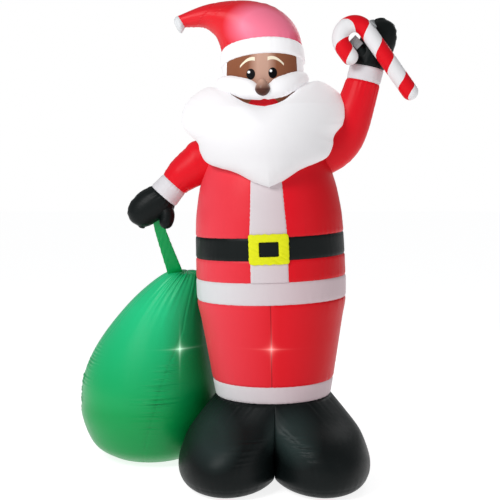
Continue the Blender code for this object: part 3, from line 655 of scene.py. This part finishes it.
def make_buckle():
    """A flat padded frame: a pillow-shaped section swept round a rectangle and laid on the body."""
    low = BELT_FOOT * PERCENT - BUCKLE_OVERLAP
    high = BELT_TOP * PERCENT + BUCKLE_OVERLAP
    middle = (low + high) / 2
    outer = np.array([BUCKLE_WIDTH / 2, (high - low) / 2])
    inner = outer - (BUCKLE_SIDE_BORDER, BUCKLE_TOP_BORDER)
    per_side = 44
    t = np.linspace(-1, 1, per_side, endpoint=False)
    one = np.ones_like(t)
    square = np.concatenate([np.stack([one, t], -1), np.stack([-t, one], -1), np.stack([-one, -t], -1),
                             np.stack([t, -one], -1)])
    turns = 20
    grid = []
    for k in range(turns):
        turn = 2 * math.pi * k / turns
        share = 0.5 + 0.5 * math.cos(turn)
        size = inner + (outer - inner) * share
        corner = 0.006 + 0.008 * share
        flat = square * size
        inset = np.minimum(size - corner, np.abs(flat)) * np.sign(flat)
        beyond = flat - inset
        length = np.maximum(np.linalg.norm(beyond, axis=-1, keepdims=True), 1e-9)
        flat = np.where(length > corner, inset + beyond / length * corner, flat)
        thick = BUCKLE_THICKNESS * (0.5 + 0.5 * math.copysign(abs(math.sin(turn)) ** 0.5, math.sin(turn)))
        x, z = flat[:, 0] + STRIP_OFFSET, flat[:, 1] + middle
        wrinkle = 0.0009 * ripples(x + 1.7 * z, 91, 0.05) + 0.0005 * ripples(z - 1.3 * x, 92, 0.03)
        x = x + 0.0012 * ripples(z, 93, 0.04) * share
        z = z + 0.0014 * ripples(x, 94, 0.05) * share
        r = body_radius(z / PERCENT) + 0.0010 + thick + wrinkle * (thick > BUCKLE_THICKNESS / 2)
        grid.append(np.stack([x, -BODY_DEPTH * np.sqrt(r * r - x * x), z], -1))
    return np.stack(grid, 0)


def ring_mesh(name, p, material):
    """A mesh closed both ways, such as a frame."""
    rows, cols = p.shape[:2]
    i, j = np.meshgrid(np.arange(rows), np.arange(cols), indexing="ij")
    a, b = (i + 1) % rows, (j + 1) % cols
    quads = np.stack([i * cols + j, i * cols + b, a * cols + b, a * cols + j], -1).reshape(-1, 4)
    points = p.reshape(-1, 3)
    a, b, c = (points[quads[:, k]] for k in range(3))
    volume = np.einsum("ij,ij->i", a, np.cross(b, c)).sum()
    faces = (quads[:, ::-1] if volume < 0 else quads).tolist()
    return smooth_object(name, points, faces, material)


attach(ring_mesh("buckle", sway(make_buckle()) + ORIGIN, yellow), "buckle")


# Boots

def make_boot(name, side, seed):
    rows, cols = 120, 220
    sections = through(BOOT_SECTIONS, rows)
    z, x0, wide, y0, long, splay = (column[:, None] * PERCENT for column in sections.T)
    splay = splay / PERCENT
    turn = np.linspace(-math.pi, math.pi, cols, endpoint=False)[None]
    y = y0 - long * np.cos(turn)
    x = x0 - splay * y + wide * np.sin(turn)
    z = np.broadcast_to(np.clip(z, 0, None), x.shape)
    # the inner side lies flat against the other boot, with a soft edge
    soft = 0.004
    x = np.where(x > 4 * soft, x, soft * np.log1p(np.exp(np.clip(x / soft, -30, 30)))) + 0.0003
    grid = np.stack([side * x, y, z], -1)
    top = BOOT_SECTIONS[0][0] * PERCENT - z
    around = turn * 0.3 + 0 * z
    height = groove(top, 0.005, 0.006) + puckers(around, top, seed, 0.0028, 0.05, 0.05)
    # the toe seam and the sole seam, where the cloth draws up into short creases
    away_toe = np.broadcast_to((turn + TOE_SEAM) * 0.2, x.shape)
    height += groove(away_toe, 0.002, 0.005) * (z > 0.03)
    on_toe = np.exp(-((z - 0.25) / 0.05) ** 2)
    height += puckers(z, away_toe, seed + 3, 0.0080, 0.035, 0.022) * on_toe
    sole = z - 0.055
    height += groove(sole, 0.0008, 0.006) + puckers(around, sole, seed + 7, 0.0012, 0.03, 0.04)
    height = height * np.clip(z / 0.02, 0, 1) * np.clip((x - 0.001) / 0.02, 0, 1)
    piece(name, push(grid, height), boot_cloth, name)


make_boot("boot_left", -1, 100)
make_boot("boot_right", 1, 120)


# Head and hat

def turned_grid(outline, rows, cols, depth):
    levels = along_curve([(r, 0, z) for z, r in outline], rows)
    angle = np.linspace(-math.pi, math.pi, cols, endpoint=False)[None]
    radius, z = levels[:, :1] * PERCENT, levels[:, 2:] * PERCENT
    x, y = radius * np.sin(angle), -radius * np.cos(angle) * depth
    return np.stack([x, y, np.broadcast_to(z, x.shape)], -1), np.broadcast_to(angle, x.shape)


def make_head():
    grid, angle = turned_grid(HEAD_OUTLINE, 60, 240, BODY_DEPTH)
    plane = FACE_PLANE * PERCENT + FACE_TURN * grid[..., 0]
    front = np.clip((plane + 0.012 - grid[..., 1]) / 0.02, 0, 1)
    height = -0.006 * front
    back = (np.mod(angle, 2 * math.pi) - math.pi) * 0.2
    height += groove(back, 0.0025, 0.004) + puckers(grid[..., 2], back, 140, 0.0018)
    piece("head", push(grid, height), white, "head", place=tilt_hat)

    rows, cols = 110, 120
    levels = through([(r, z) for z, r in HEAD_OUTLINE], rows) * PERCENT
    radius, z = levels[:, :1], levels[:, 1:]
    # where the seam's plane y = FACE_PLANE + FACE_TURN x meets the head's oval
    steep = 1 + (FACE_TURN / BODY_DEPTH) ** 2
    lean = FACE_PLANE * PERCENT * FACE_TURN / BODY_DEPTH ** 2 / steep
    half = np.sqrt(lean ** 2 - ((FACE_PLANE * PERCENT / BODY_DEPTH) ** 2 - radius ** 2) / steep)
    across = np.sin(np.linspace(-1, 1, cols) * math.pi / 2)[None]
    x = half * across - lean
    z = np.broadcast_to(z, x.shape)
    away = half * (1 - np.abs(across))
    height = groove(away, 0.004, 0.005) + puckers(z + 3 * np.sign(across), away, 150, 0.0016, 0.03, 0.04)
    y = -BODY_DEPTH * np.sqrt(np.maximum((radius + height) ** 2 - x ** 2, 0))
    seam = FACE_PLANE * PERCENT + FACE_TURN * x
    front = np.stack([x, np.minimum(y, seam), z], -1)
    behind = np.stack([x, seam + 0.004, z], -1)
    piece("face", np.concatenate([front, behind[:, ::-1]], 1), skin, "face", place=tilt_hat)


make_head()


def on_face(x, z):
    """Where a point of the face panel is in the frame; x and z are hundredths of the upright figure."""
    radius = np.interp(z, [level for level, _ in HEAD_OUTLINE], [r for _, r in HEAD_OUTLINE])
    y = -BODY_DEPTH * math.sqrt(radius ** 2 - x * x)
    return tilt_hat(np.array([x, y, z]) * PERCENT) + ORIGIN


def inside_oval(material, middle, half_width, half_height, soft=0.0010):
    """1 inside an upright oval in the frame's x and z, through the whole depth, 0 outside."""
    _, x, _, z = position(material)
    off_x = math_node(material, "SUBTRACT", x, float(middle[0]))
    across = math_node(material, "MULTIPLY", off_x, 1 / half_width)
    off_z = math_node(material, "SUBTRACT", z, float(middle[2]))
    up = math_node(material, "MULTIPLY", off_z, 1 / half_height)
    square = math_node(material, "ADD", math_node(material, "MULTIPLY", across, across),
                       math_node(material, "MULTIPLY", up, up))
    away = math_node(material, "SUBTRACT", 1.0, math_node(material, "SQRT", square))
    return math_node(material, "MULTIPLY_ADD", away, half_width / soft, 0.5, True)


def under_arch(material, points, thickness, soft=0.0008):
    """1 on a band that follows a parabola through three points, its thickness given at the first and last."""
    _, x, _, z = position(material)
    start, crest, end = (np.array(p) for p in points)
    fit = np.polyfit([start[0], crest[0], end[0]], [start[2], crest[2], end[2]], 2)
    slope = math_node(material, "MULTIPLY_ADD", x, float(fit[0]), float(fit[1]))
    curve = math_node(material, "MULTIPLY_ADD", slope, x, float(fit[2]))
    share = math_node(material, "MULTIPLY", math_node(material, "SUBTRACT", x, float(start[0])),
                      float(1 / (end[0] - start[0])), clamp=True)
    half = math_node(material, "MULTIPLY_ADD", share, (thickness[1] - thickness[0]) / 2, thickness[0] / 2)
    off = math_node(material, "ABSOLUTE", math_node(material, "SUBTRACT", z, curve))
    body = math_node(material, "MULTIPLY", math_node(material, "SUBTRACT", half, off), 1 / soft)
    low, high = sorted((float(start[0]), float(end[0])))
    near_low = math_node(material, "MULTIPLY", math_node(material, "SUBTRACT", x, low), 1 / soft)
    near_high = math_node(material, "MULTIPLY", math_node(material, "SUBTRACT", high, x), 1 / soft)
    near_end = math_node(material, "MINIMUM", near_low, near_high)
    return math_node(material, "MINIMUM", near_end, body, clamp=True)


def print_face():
    """The printed parts of the face, its eyes, brows and lips, and a painted highlight down its middle."""
    _, x, _, _ = position(skin)
    middle = on_face(MIDDLE_OF_FACE[0], MIDDLE_OF_FACE[1])
    off = math_node(skin, "ABSOLUTE", math_node(skin, "SUBTRACT", x, float(middle[0])))
    face_highlight = math_node(skin, "MULTIPLY", math_node(skin, "MULTIPLY_ADD", off, -1 / 0.045, 1.55, True), 0.75)
    colour = mix_colour(skin, face_highlight, skin_colour, FACE_PAINTED_HIGHLIGHT)
    for points in (LEFT_BROW, RIGHT_BROW):
        brow = under_arch(skin, [on_face(*p) for p in points], BROW_THICKNESS)
        colour = mix_colour(skin, brow, colour, BROW)
    for place in EYES:
        eye = on_face(*place)
        colour = mix_colour(skin, inside_oval(skin, eye, EYE_WIDTH / 2, EYE_HEIGHT / 2), colour, EYE_BLACK)
        glint = eye + np.array([-0.22 * EYE_WIDTH, 0, 0.19 * EYE_HEIGHT])
        colour = mix_colour(skin, inside_oval(skin, glint, GLINT / 2, GLINT / 2), colour, (1.0, 1.0, 1.0))
    lips = inside_oval(skin, on_face(*LIPS), LIPS_WIDTH / 2, LIPS_HEIGHT / 2, 0.004)
    colour = mix_colour(skin, lips, colour, LIP)
    paint(skin, colour)


print_face()


def paint_hat_sheen():
    """A painted sheen: the broad pale pink patch on the front of the hat, which also runs pinker towards the
    viewer's right.
    """
    where = tilt_hat(np.array(HAT_SHEEN) * PERCENT) + ORIGIN
    patch = inside_oval(hat_cloth, where, 0.17, 0.12, 0.10)
    _, _, y, _ = position(hat_cloth)
    front = math_node(hat_cloth, "MULTIPLY_ADD", y, -8.0, float(8.0 * ORIGIN[1]), True)
    share = math_node(hat_cloth, "MULTIPLY", math_node(hat_cloth, "MULTIPLY", patch, front), 0.72)
    colour = shaded(hat_cloth, hat_colour, HAT_FAR_SIDE, 0.0, 0.16, 0, 0.8)
    paint(hat_cloth, mix_colour(hat_cloth, share, colour, HAT_PAINTED_SHEEN))


def paint_boot_highlights():
    """A painted highlight: the faint green-grey gleam high on each boot, towards the light."""
    colour = boot_colour
    for x, z in BOOT_GLEAMS:
        patch = inside_oval(boot_cloth, np.array((ORIGIN[0] + x, 0.0, z)), 0.10, 0.10, 0.10)
        colour = mix_colour(boot_cloth, math_node(boot_cloth, "MULTIPLY", patch, 0.8), colour, BOOT_PAINTED_HIGHLIGHT)
    paint(boot_cloth, colour)


paint_hat_sheen()
paint_boot_highlights()


def make_hat():
    grid, angle = turned_grid(BAND_OUTLINE, 40, 240, BODY_DEPTH)
    z = grid[..., 2]
    around = angle * 0.21
    low, high = z - BAND_OUTLINE[0][0] * PERCENT, BAND_TOP * PERCENT - z
    height = puckers(around, low, 160, 0.0018) + puckers(around, high, 165, 0.0018)
    piece("hat_band", push(grid, height), white, "hat_band", place=tilt_hat)

    grid, step, turn = spanned(HAT_CROWN, HAT_UNDER, HAT_DEPTH, 0, len(HAT_DEPTH) - 1, 150, 180)
    away = step * 0.09
    height = groove(away, 0.004, 0.006) + puckers(turn * 0.2, away, 170, 0.0028, 0.05, 0.05)
    # seams across near the tip, and along the crown
    for k, (where, strength) in enumerate(((6.35, 1.0), (5.2, 0.5))):
        off = (step - where - 0.25 * np.cos(turn)) * 0.09
        height += groove(off, 0.003 * strength, 0.004)
        height += puckers(turn * 0.09, off, 175 + k, 0.0022 * strength, 0.03, 0.04)
    for k, where in enumerate((0.15, math.pi - 0.3)):
        off = away_from(turn, where) * 0.15
        height += groove(off, 0.0025, 0.004) + puckers(step * 0.09, off, 180 + k, 0.0022, 0.035, 0.05)
    fold = np.exp(-((step - 3.2) / 1.6) ** 2) * np.exp(-((turn - math.pi) / 0.9) ** 2)
    height += 0.0012 * fold * ripples(step * 0.09, 185, 0.06)
    piece("hat", push(grid, height), hat_cloth, "hat", place=tilt_hat)

    grid, step, turn = spanned(TIP_CROWN, TIP_UNDER, TIP_DEPTH, 0, len(TIP_DEPTH) - 1, 24, 64, tip=0.012)
    height = puckers(turn * 0.04, step * 0.015, 190, 0.0022, 0.02, 0.02)
    piece("hat_tip", push(grid, height), trim, "hat_tip", place=tilt_hat)


def rounded_off(ring, middle, out):
    """Rows beyond the last ring, each smaller and further out."""
    return [middle + (ring - middle) * math.cos(lift) + out * math.sin(lift) for lift in CAP_LIFTS]


def spanned(upper, under, depths, start, end, rows, cols, tip=0.0):
    """A grid that spans two outlines seen from the front and is round in depth, its step and its angle."""
    fine = 24
    sections = [(*a, *b, d) for a, b, d in zip(upper, under, depths)]
    edges = through(sections, (len(upper) - 1) * fine + 1) * PERCENT
    steps = np.linspace(start, end, rows)
    x, z, x2, z2, deep = (np.interp(steps * fine, range(len(edges)), column)[:, None] for column in edges.T)
    turn = np.linspace(0, 2 * math.pi, cols, endpoint=False)[None]
    mid_x, mid_z, out_x, out_z = (x + x2) / 2, (z + z2) / 2, (x2 - x) / 2, (z2 - z) / 2
    grid = np.stack([mid_x + out_x * np.cos(turn), deep * np.sin(turn), mid_z + out_z * np.cos(turn)], -1)
    step_grid = np.broadcast_to(steps[:, None], grid.shape[:2])
    turn_grid = np.broadcast_to(turn, grid.shape[:2])
    if tip:
        last, before = grid[-1].mean(0), grid[-3].mean(0)
        out = (last - before) / np.linalg.norm(last - before) * tip
        caps = rounded_off(grid[-1], last, out)
        grid = np.concatenate([grid, caps])
        step_grid = np.concatenate([step_grid, np.full((len(caps), cols), end)])
        turn_grid = np.concatenate([turn_grid, np.broadcast_to(turn, (len(caps), cols))])
    return grid, step_grid, turn_grid


make_hat()


def swept(path, rows, cols, squareness=1.0, rounded=True):
    """A grid round a path of x, y, z, half width and half depth, with the length walked and the angle."""
    spine = along_curve(path, rows) * PERCENT
    along = np.gradient(spine[:, :3], axis=0)
    along /= np.linalg.norm(along, axis=-1, keepdims=True)
    inward = np.array([0.0, 1.0, 0.0]) - along * along[:, 1:2]
    inward /= np.linalg.norm(inward, axis=-1, keepdims=True)
    across = np.cross(along, inward)
    turn = np.linspace(0, 2 * math.pi, cols, endpoint=False)
    a, b = (np.sign(f(turn)) * np.abs(f(turn)) ** squareness for f in (np.cos, np.sin))
    grid = (spine[:, None, :3] + across[:, None] * a[None, :, None] * spine[:, None, 3:4]
            + inward[:, None] * b[None, :, None] * spine[:, None, 4:5])
    walked = np.concatenate([[0], np.cumsum(np.linalg.norm(np.diff(spine[:, :3], axis=0), axis=1))])
    lengths = [np.full(cols, w) for w in walked]
    for end, sign in ((0, -1), (-1, 1)) if rounded else ():
        middle, radius = spine[end, :3], spine[end, 3:].min()
        caps = rounded_off(grid[end], middle, sign * along[end] * radius)
        reach = [np.full(cols, walked[end] + sign * radius * math.sin(lift)) for lift in CAP_LIFTS]
        if end == 0:
            grid = np.concatenate([np.array(caps[::-1]), grid])
            lengths = reach[::-1] + lengths
        else:
            grid = np.concatenate([grid, np.array(caps)])
            lengths = lengths + reach
    return grid, np.array(lengths), np.broadcast_to(turn, grid.shape[:2])


def ellipsoid(middle, radii, rows=48, cols=72):
    t = np.linspace(0.02, math.pi - 0.02, rows)[:, None]
    a = np.linspace(0, 2 * math.pi, cols, endpoint=False)[None]
    unit = np.stack([np.sin(t) * np.cos(a), np.sin(t) * np.sin(a), np.cos(t) + 0 * a], -1)
    return (np.array(middle) + unit * np.array(radii)) * PERCENT


def make_nose():
    """A ball that narrows upwards, with painted light on its top."""
    grid = ellipsoid(NOSE_MIDDLE, [r * 1.07 for r in NOSE_RADII])
    middle = np.array(NOSE_MIDDLE) * PERCENT
    up = np.clip((grid[..., 2] - middle[2]) / (NOSE_RADII[2] * PERCENT), 0, 1)
    grid[..., 2] += 0.45 * NOSE_RADII[2] * PERCENT * up ** 2
    grid[..., 0] = middle[0] + (grid[..., 0] - middle[0]) * (1 - 0.25 * up)
    piece("nose", grid, nose_cloth, "nose")
    _, _, _, z = position(nose_cloth)
    level = sway(middle)[2] + ORIGIN[2]
    above = math_node(nose_cloth, "SUBTRACT", z, float(level))
    rise = math_node(nose_cloth, "MULTIPLY_ADD", above, 24.0, 0.10, True)
    paint(nose_cloth, mix_colour(nose_cloth, rise, nose_colour, NOSE_PAINTED_HIGHLIGHT))


make_nose()


def make_moustache():
    path = [(-x, y, z, tall, deep) for x, y, z, tall, deep in MOUSTACHE[:0:-1]] + MOUSTACHE
    grid, walked, turn = swept(path, 150, 64)
    height = 0.0005 * ripples(walked, 200, 0.035) * np.abs(np.cos(turn)) ** 2
    height += groove(grid[..., 0], 0.006, 0.012)
    piece("moustache", push(grid, height), white, "moustache")


make_moustache()


def make_beard():
    """A pillow with a lobed outline bent round the chest. Folds run in from the notches in its edge."""
    half = along_curve([(x, 0, z) for x, z in BEARD_OUTLINE], 121)[:, (0, 2)]
    outline = np.vstack([half, half[-2:0:-1] * (-1, 1)]) - (0, BEARD_MIDDLE)
    count = len(outline)
    window = int(count * 0.20)
    shifts = range(-window // 2, window // 2 + 1)
    plain = sum(np.roll(outline, s, axis=0) for s in shifts) / (window // 2 * 2 + 1)
    gap = np.linalg.norm(outline, axis=1) - np.linalg.norm(plain, axis=1)
    turns = np.concatenate([-np.linspace(89.5, 4, 14), np.linspace(0, 89.5, 64)])
    rows = []
    heights = []
    edge_length = np.concatenate([[0], np.cumsum(np.linalg.norm(np.diff(outline, axis=0), axis=1))]) * PERCENT
    for degrees in turns:
        turn = math.radians(degrees)
        bulge = BEARD_FRONT if turn > 0 else BEARD_BACK
        lobed = math.cos(turn) ** 3
        flat = (outline * lobed + plain * (1 - lobed)) * math.cos(turn)
        x, z = flat[:, 0], flat[:, 1] + BEARD_MIDDLE
        seam = np.interp(z, *zip(*BEARD_SEAM)) + BEARD_WRAP * x * x
        rows.append(np.stack([x, seam - bulge * math.sin(turn), z], -1) * PERCENT)
        away = (1 - math.cos(turn)) * 0.35 + abs(turn) * 0.01
        notch = np.clip(-gap / 1.2, -0.4, 1.0)
        fold = -0.006 * np.clip(notch, 0, 1) * math.exp(-(abs(turn) / 0.75) ** 2) * (degrees > -40)
        small = puckers(edge_length, np.full(count, away), 210, 0.0012, 0.07, 0.055)
        heights.append(fold + small + groove(np.full(count, abs(turn) * 0.1), 0.003, 0.006))
    grid = np.array(rows)
    return push(grid, np.array(heights))


piece("beard", make_beard(), beard_cloth, "beard")


# Arms

def make_arm(side, upper, under, depths, thumb, ends, seed):
    sleeve_end, cuff_end = ends
    last = len(depths) - 1
    grid, step, turn = spanned(upper, under, depths, 0, sleeve_end, 130, 120)
    off = (sleeve_end - step) * 0.08
    height = groove(off) + puckers(turn * 0.085, off, seed, 0.0025, 0.05, 0.035)
    for k, where in enumerate((0.25, math.pi + 0.25)):
        away = away_from(turn, where) * 0.085
        height += groove(away, 0.0022, 0.004)
        height += puckers(step * 0.08, away, seed + 4 + k, 0.0020, 0.03, 0.035)
    piece(side + "_sleeve", push(grid, height), sleeve_cloth, side + "_sleeve")
    grid, step, turn = spanned(upper, under, depths, sleeve_end, cuff_end, 40, 120)
    share = step - sleeve_end
    height = groove(share * 0.07) + groove((1 - share) * 0.07)
    height += puckers(turn * 0.08, share * 0.07, seed + 8, 0.0018, 0.02, 0.03)
    piece(side + "_cuff", push(grid, height), cuff_cloth, side + "_cuff")
    grid, step, turn = spanned(upper, under, depths, cuff_end, last, 110, 110, tip=0.010)
    off = (step - cuff_end) * 0.05
    height = groove(off) + puckers(turn * 0.08, off, seed + 12, 0.0030, 0.035, 0.03)
    for k, where in enumerate((0.0, math.pi)):
        away = away_from(turn, where) * 0.08
        fade = np.clip((last - step) / 1.5, 0, 1)
        seam = groove(away, 0.003, 0.004) + puckers(step * 0.05, away, seed + 14 + k, 0.0025, 0.03)
        height += seam * fade
    piece(side + "_mitten", push(grid, height), black, side + "_mitten")
    grid, walked, turn = swept(thumb, 40, 48)
    piece(side + "_thumb", grid, black, None)


make_arm("lowered", LOWERED_UPPER, LOWERED_UNDER, LOWERED_DEPTH, LOWERED_THUMB,
         (LOWERED_SLEEVE_END, LOWERED_CUFF_END), 300)
make_arm("raised", RAISED_UPPER, RAISED_UNDER, RAISED_DEPTH, RAISED_THUMB,
         (RAISED_SLEEVE_END, RAISED_CUFF_END), 340)


# Cane

def cane_path():
    lean = math.radians(CANE_LEAN_DEG)
    bend = CANE_BEND_RADIUS / PERCENT
    x, y, z = CANE_BEND_MIDDLE
    down = np.array((math.sin(lean), -math.cos(lean)))
    side = np.array((math.cos(lean), math.sin(lean)))
    middle = np.array((x, z))
    points = [middle + side * bend + down * CANE_SHAFT / PERCENT * t for t in (1, 0.8, 0.6, 0.4, 0.2)]
    points += [middle + bend * (side * math.cos(t) - down * math.sin(t)) for t in np.linspace(0, math.pi, 9)]
    points.append(middle - side * bend + down * CANE_LEG / PERCENT)
    radius = CANE_RADIUS / PERCENT
    return [(px, y, pz, radius, radius) for px, pz in points]


def make_cane():
    """The cane, and in its uv the turns round it and the turns that the stripes have run along it."""
    grid, walked, turn = swept(cane_path(), 260, 72)
    turned_by = turn / (2 * math.pi) - STRIPE_SLANT * np.sin(turn - FRONT_TURN)
    up_the_cane = walked - walked[len(CAP_LIFTS), 0]
    half_turns = np.arange(len(STRIPE_EDGES)) / 2 - 0.5
    passed = np.interp(up_the_cane, STRIPE_EDGES, half_turns) - FRONT_TURN / (2 * math.pi)
    stripe = np.mod(2 * (turned_by + passed), 1.0)
    seam = np.minimum(stripe, 1 - stripe) * 0.1
    height = groove(seam, 0.0012, 0.004) + puckers(turn * 0.042, seam, 400, 0.0012, 0.015, 0.02)
    uv = np.stack([turned_by, passed + 5], -1)
    piece("candy_cane", push(grid, height), striped, "candy_cane", uv=uv)


def paint_stripes():
    nodes, links, _ = nodes_of(striped)
    coordinate = nodes.new("ShaderNodeUVMap")
    coordinate.uv_map = "cloth"
    split = nodes.new("ShaderNodeSeparateXYZ")
    links.new(coordinate.outputs[0], split.inputs[0])
    turns = math_node(striped, "ADD", split.outputs[0], split.outputs[1])
    is_red = math_node(striped, "LESS_THAN", math_node(striped, "FRACT", turns), 0.5)
    paint(striped, mix_colour(striped, is_red, striped_colour, RED))


make_cane()
paint_stripes()


# Tabs

def make_tab(name, points, across, seed):
    """A curled piece of tape along points in metres, as wide as TAB_WIDTH in the direction across."""
    spine = along_curve(points, 40)
    along = np.gradient(spine, axis=0)
    out = np.cross(along, across)
    out /= np.linalg.norm(out, axis=-1, keepdims=True)
    side = np.concatenate([np.linspace(-1, 1, 24), np.linspace(1, -1, 24)])
    face = np.repeat((-1.0, 1.0), 24)
    thick = TAB_THICKNESS / 2 * np.sqrt(np.clip(1 - side ** 8, 0, 1))
    wrinkle = 0.0012 * ripples(np.linspace(0, 0.05, 40)[:, None] + side * 0.004, seed, 0.016)
    grid = (spine[:, None] + np.asarray(across) * side[None, :, None] * TAB_WIDTH / 2
            + out[:, None] * ((face * thick)[None] + wrinkle)[..., None])
    piece(name, grid, grey, name)


def make_tabs():
    lean = math.radians(CANE_LEAN_DEG)
    down = np.array((math.sin(lean), 0.0, -math.cos(lean)))
    side = np.array((math.cos(lean), 0.0, math.sin(lean)))
    start = np.array(CANE_BEND_MIDDLE) * PERCENT + side * CANE_BEND_RADIUS
    finger = [(start[0] + side[0] * away * PERCENT, y * PERCENT, start[2] + side[2] * away * PERCENT)
              for away, y in FINGER_TAB]
    thumb = np.array(THUMB_TAB) * PERCENT
    leaning = np.cross(thumb[-1] - thumb[0], (0.0, 1.0, 0.0))
    make_tab("finger_tab", finger, down, 410)
    make_tab("thumb_tab", thumb, leaning / np.linalg.norm(leaning), 412)


make_tabs()


# Sack

def make_sack():
    rows, cols = 260, 360
    levels = along_curve([(r, 0, z) for z, r in SACK_OUTLINE], rows)
    radius, z = levels[:, :1] * PERCENT, np.clip(levels[:, 2:] * PERCENT, 0, None)
    angle = np.linspace(-math.pi, math.pi, cols, endpoint=False)[None]
    x, y = radius * np.sin(angle), -radius * np.cos(angle)
    grid = np.stack([x, y, np.broadcast_to(z, x.shape)], -1)
    z = grid[..., 2]
    height = np.zeros_like(x)
    level, seam_turn = zip(*SACK_SEAM)
    first_seam = np.radians(np.interp(z, level, seam_turn))
    for k in range(4):
        away = away_from(angle - first_seam, k * math.pi / 2) * radius
        height += groove(away, 0.0018, 0.005)
        height += puckers(z, away, 420 + k, 0.0160, 0.055, 0.020) * np.exp(-((z - 0.43) / 0.16) ** 2)
    top = (SACK_OUTLINE[-1][0] * PERCENT - z)
    pleats = np.exp(-(top / 0.16) ** 1.5)
    folds = ripples(np.sin(angle) * 0.5 + angle * 0.3, 430, 0.22)
    height += 0.0025 * pleats * folds * np.clip(radius / 0.08, 0, 1)
    height = height * np.clip(z / 0.03, 0, 1)
    return push(grid, height)


def make_strap():
    path = [(*p, STRAP_WIDTH / 2 / PERCENT * s, STRAP_THICKNESS / 2 / PERCENT)
            for p, s in zip(STRAP_PATH, STRAP_TAPER)]
    grid, walked, turn = swept(path, 90, 40, 0.5, rounded=False)
    height = 0.0006 * ripples(walked + 0.1 * np.cos(turn), 440, 0.05)
    piece("sack_strap", push(grid, height), green, "sack_strap")


piece("sack", make_sack(), sack_cloth, "sack", place=sack_lean)
make_strap()

trouser_glow = sway(np.array(TROUSER_LAMP)) + ORIGIN
glow(trouser_cloth, (trouser_glow[0], 0.0, trouser_glow[2]), TROUSER_GLOW, 0.8)
sack_glow = np.array(SACK_LAMP) + ORIGIN
glow(sack_cloth, (sack_glow[0], sack_glow[1] + 0.25, sack_glow[2]), SACK_GLOW, 0.9)

# Floor, light and camera

FLOOR_GLOW = 0.84           # keeps the floor as white as the backdrop
SKY_LIGHT = 0.34
LIGHTS = (("key", (-3.0, -3.6, 4.2), (1.6, 1.6), 160),      # place from the origin, size, watts
          ("fill", (3.8, -3.0, 2.4), (1.4, 2.6), 10),
          ("rim", (2.0, 3.4, 3.4), (2.0, 2.0), 40))
LIGHTS_AIM = 1.2


def make_floor():
    material = bpy.data.materials.new("floor")
    material.use_nodes = True
    shader = material.node_tree.nodes["Principled BSDF"]
    shader.inputs["Base Color"].default_value = (0.45, 0.45, 0.45, 1)
    shader.inputs["Roughness"].default_value = 1.0
    shader.inputs["Specular IOR Level"].default_value = 0.0
    shader.inputs["Emission Color"].default_value = (1, 1, 1, 1)
    shader.inputs["Emission Strength"].default_value = FLOOR_GLOW
    mesh = bpy.data.meshes.new("floor")
    reach, drop = 30, -0.0005
    corners = [(x, y, drop) for x, y in ((-reach, -reach), (reach, -reach), (reach, reach), (-reach, reach))]
    mesh.from_pydata(corners, [], [(0, 1, 2, 3)])
    mesh.materials.append(material)
    floor = bpy.data.objects.new("floor", mesh)
    bpy.context.scene.collection.objects.link(floor)


def make_world():
    """White behind the figure, and a softer white light from all round."""
    world = bpy.data.worlds.new("world")
    bpy.context.scene.world = world
    world.use_nodes = True
    tree = world.node_tree
    light = tree.nodes["Background"]
    light.inputs["Color"].default_value = (0.97, 0.98, 1.0, 1)
    light.inputs["Strength"].default_value = SKY_LIGHT
    backdrop = tree.nodes.new("ShaderNodeBackground")
    backdrop.inputs["Color"].default_value = (1, 1, 1, 1)
    path = tree.nodes.new("ShaderNodeLightPath")
    mix = tree.nodes.new("ShaderNodeMixShader")
    tree.links.new(path.outputs["Is Camera Ray"], mix.inputs[0])
    tree.links.new(light.outputs[0], mix.inputs[1])
    tree.links.new(backdrop.outputs[0], mix.inputs[2])
    tree.links.new(mix.outputs[0], tree.nodes["World Output"].inputs["Surface"])


def area_light(name, where, target, size, power):
    data = bpy.data.lights.new(name, "AREA")
    data.shape = "RECTANGLE"
    data.size, data.size_y = size
    data.energy = power
    light = bpy.data.objects.new(name, data)
    light.location = where
    light.rotation_euler = (Vector(target) - Vector(where)).to_track_quat("-Z", "Y").to_euler()
    bpy.context.scene.collection.objects.link(light)


make_floor()
make_world()
middle = Vector((ORIGIN[0], ORIGIN[1], LIGHTS_AIM))
for name, where, size, power in LIGHTS:
    area_light(name, tuple(ORIGIN + where), middle, size, power)

CAMERA_DISTANCE = 5.2
CAMERA_HEIGHT = 1.6166
CAMERA_PITCH_DEG = 4.8028
CAMERA_LENS = 72.84
CAMERA_ASIDE = -0.124
camera_data = bpy.data.cameras.new("camera")
camera_data.sensor_width = 36
camera_data.lens = CAMERA_LENS
camera = bpy.data.objects.new("camera", camera_data)
camera.location = (ORIGIN[0] + CAMERA_ASIDE, ORIGIN[1] - CAMERA_DISTANCE, CAMERA_HEIGHT)
camera.rotation_euler = (math.radians(90 - CAMERA_PITCH_DEG), 0, 0)
bpy.context.scene.collection.objects.link(camera)
bpy.context.scene.camera = camera
bpy.context.scene.view_settings.view_transform = "Standard"
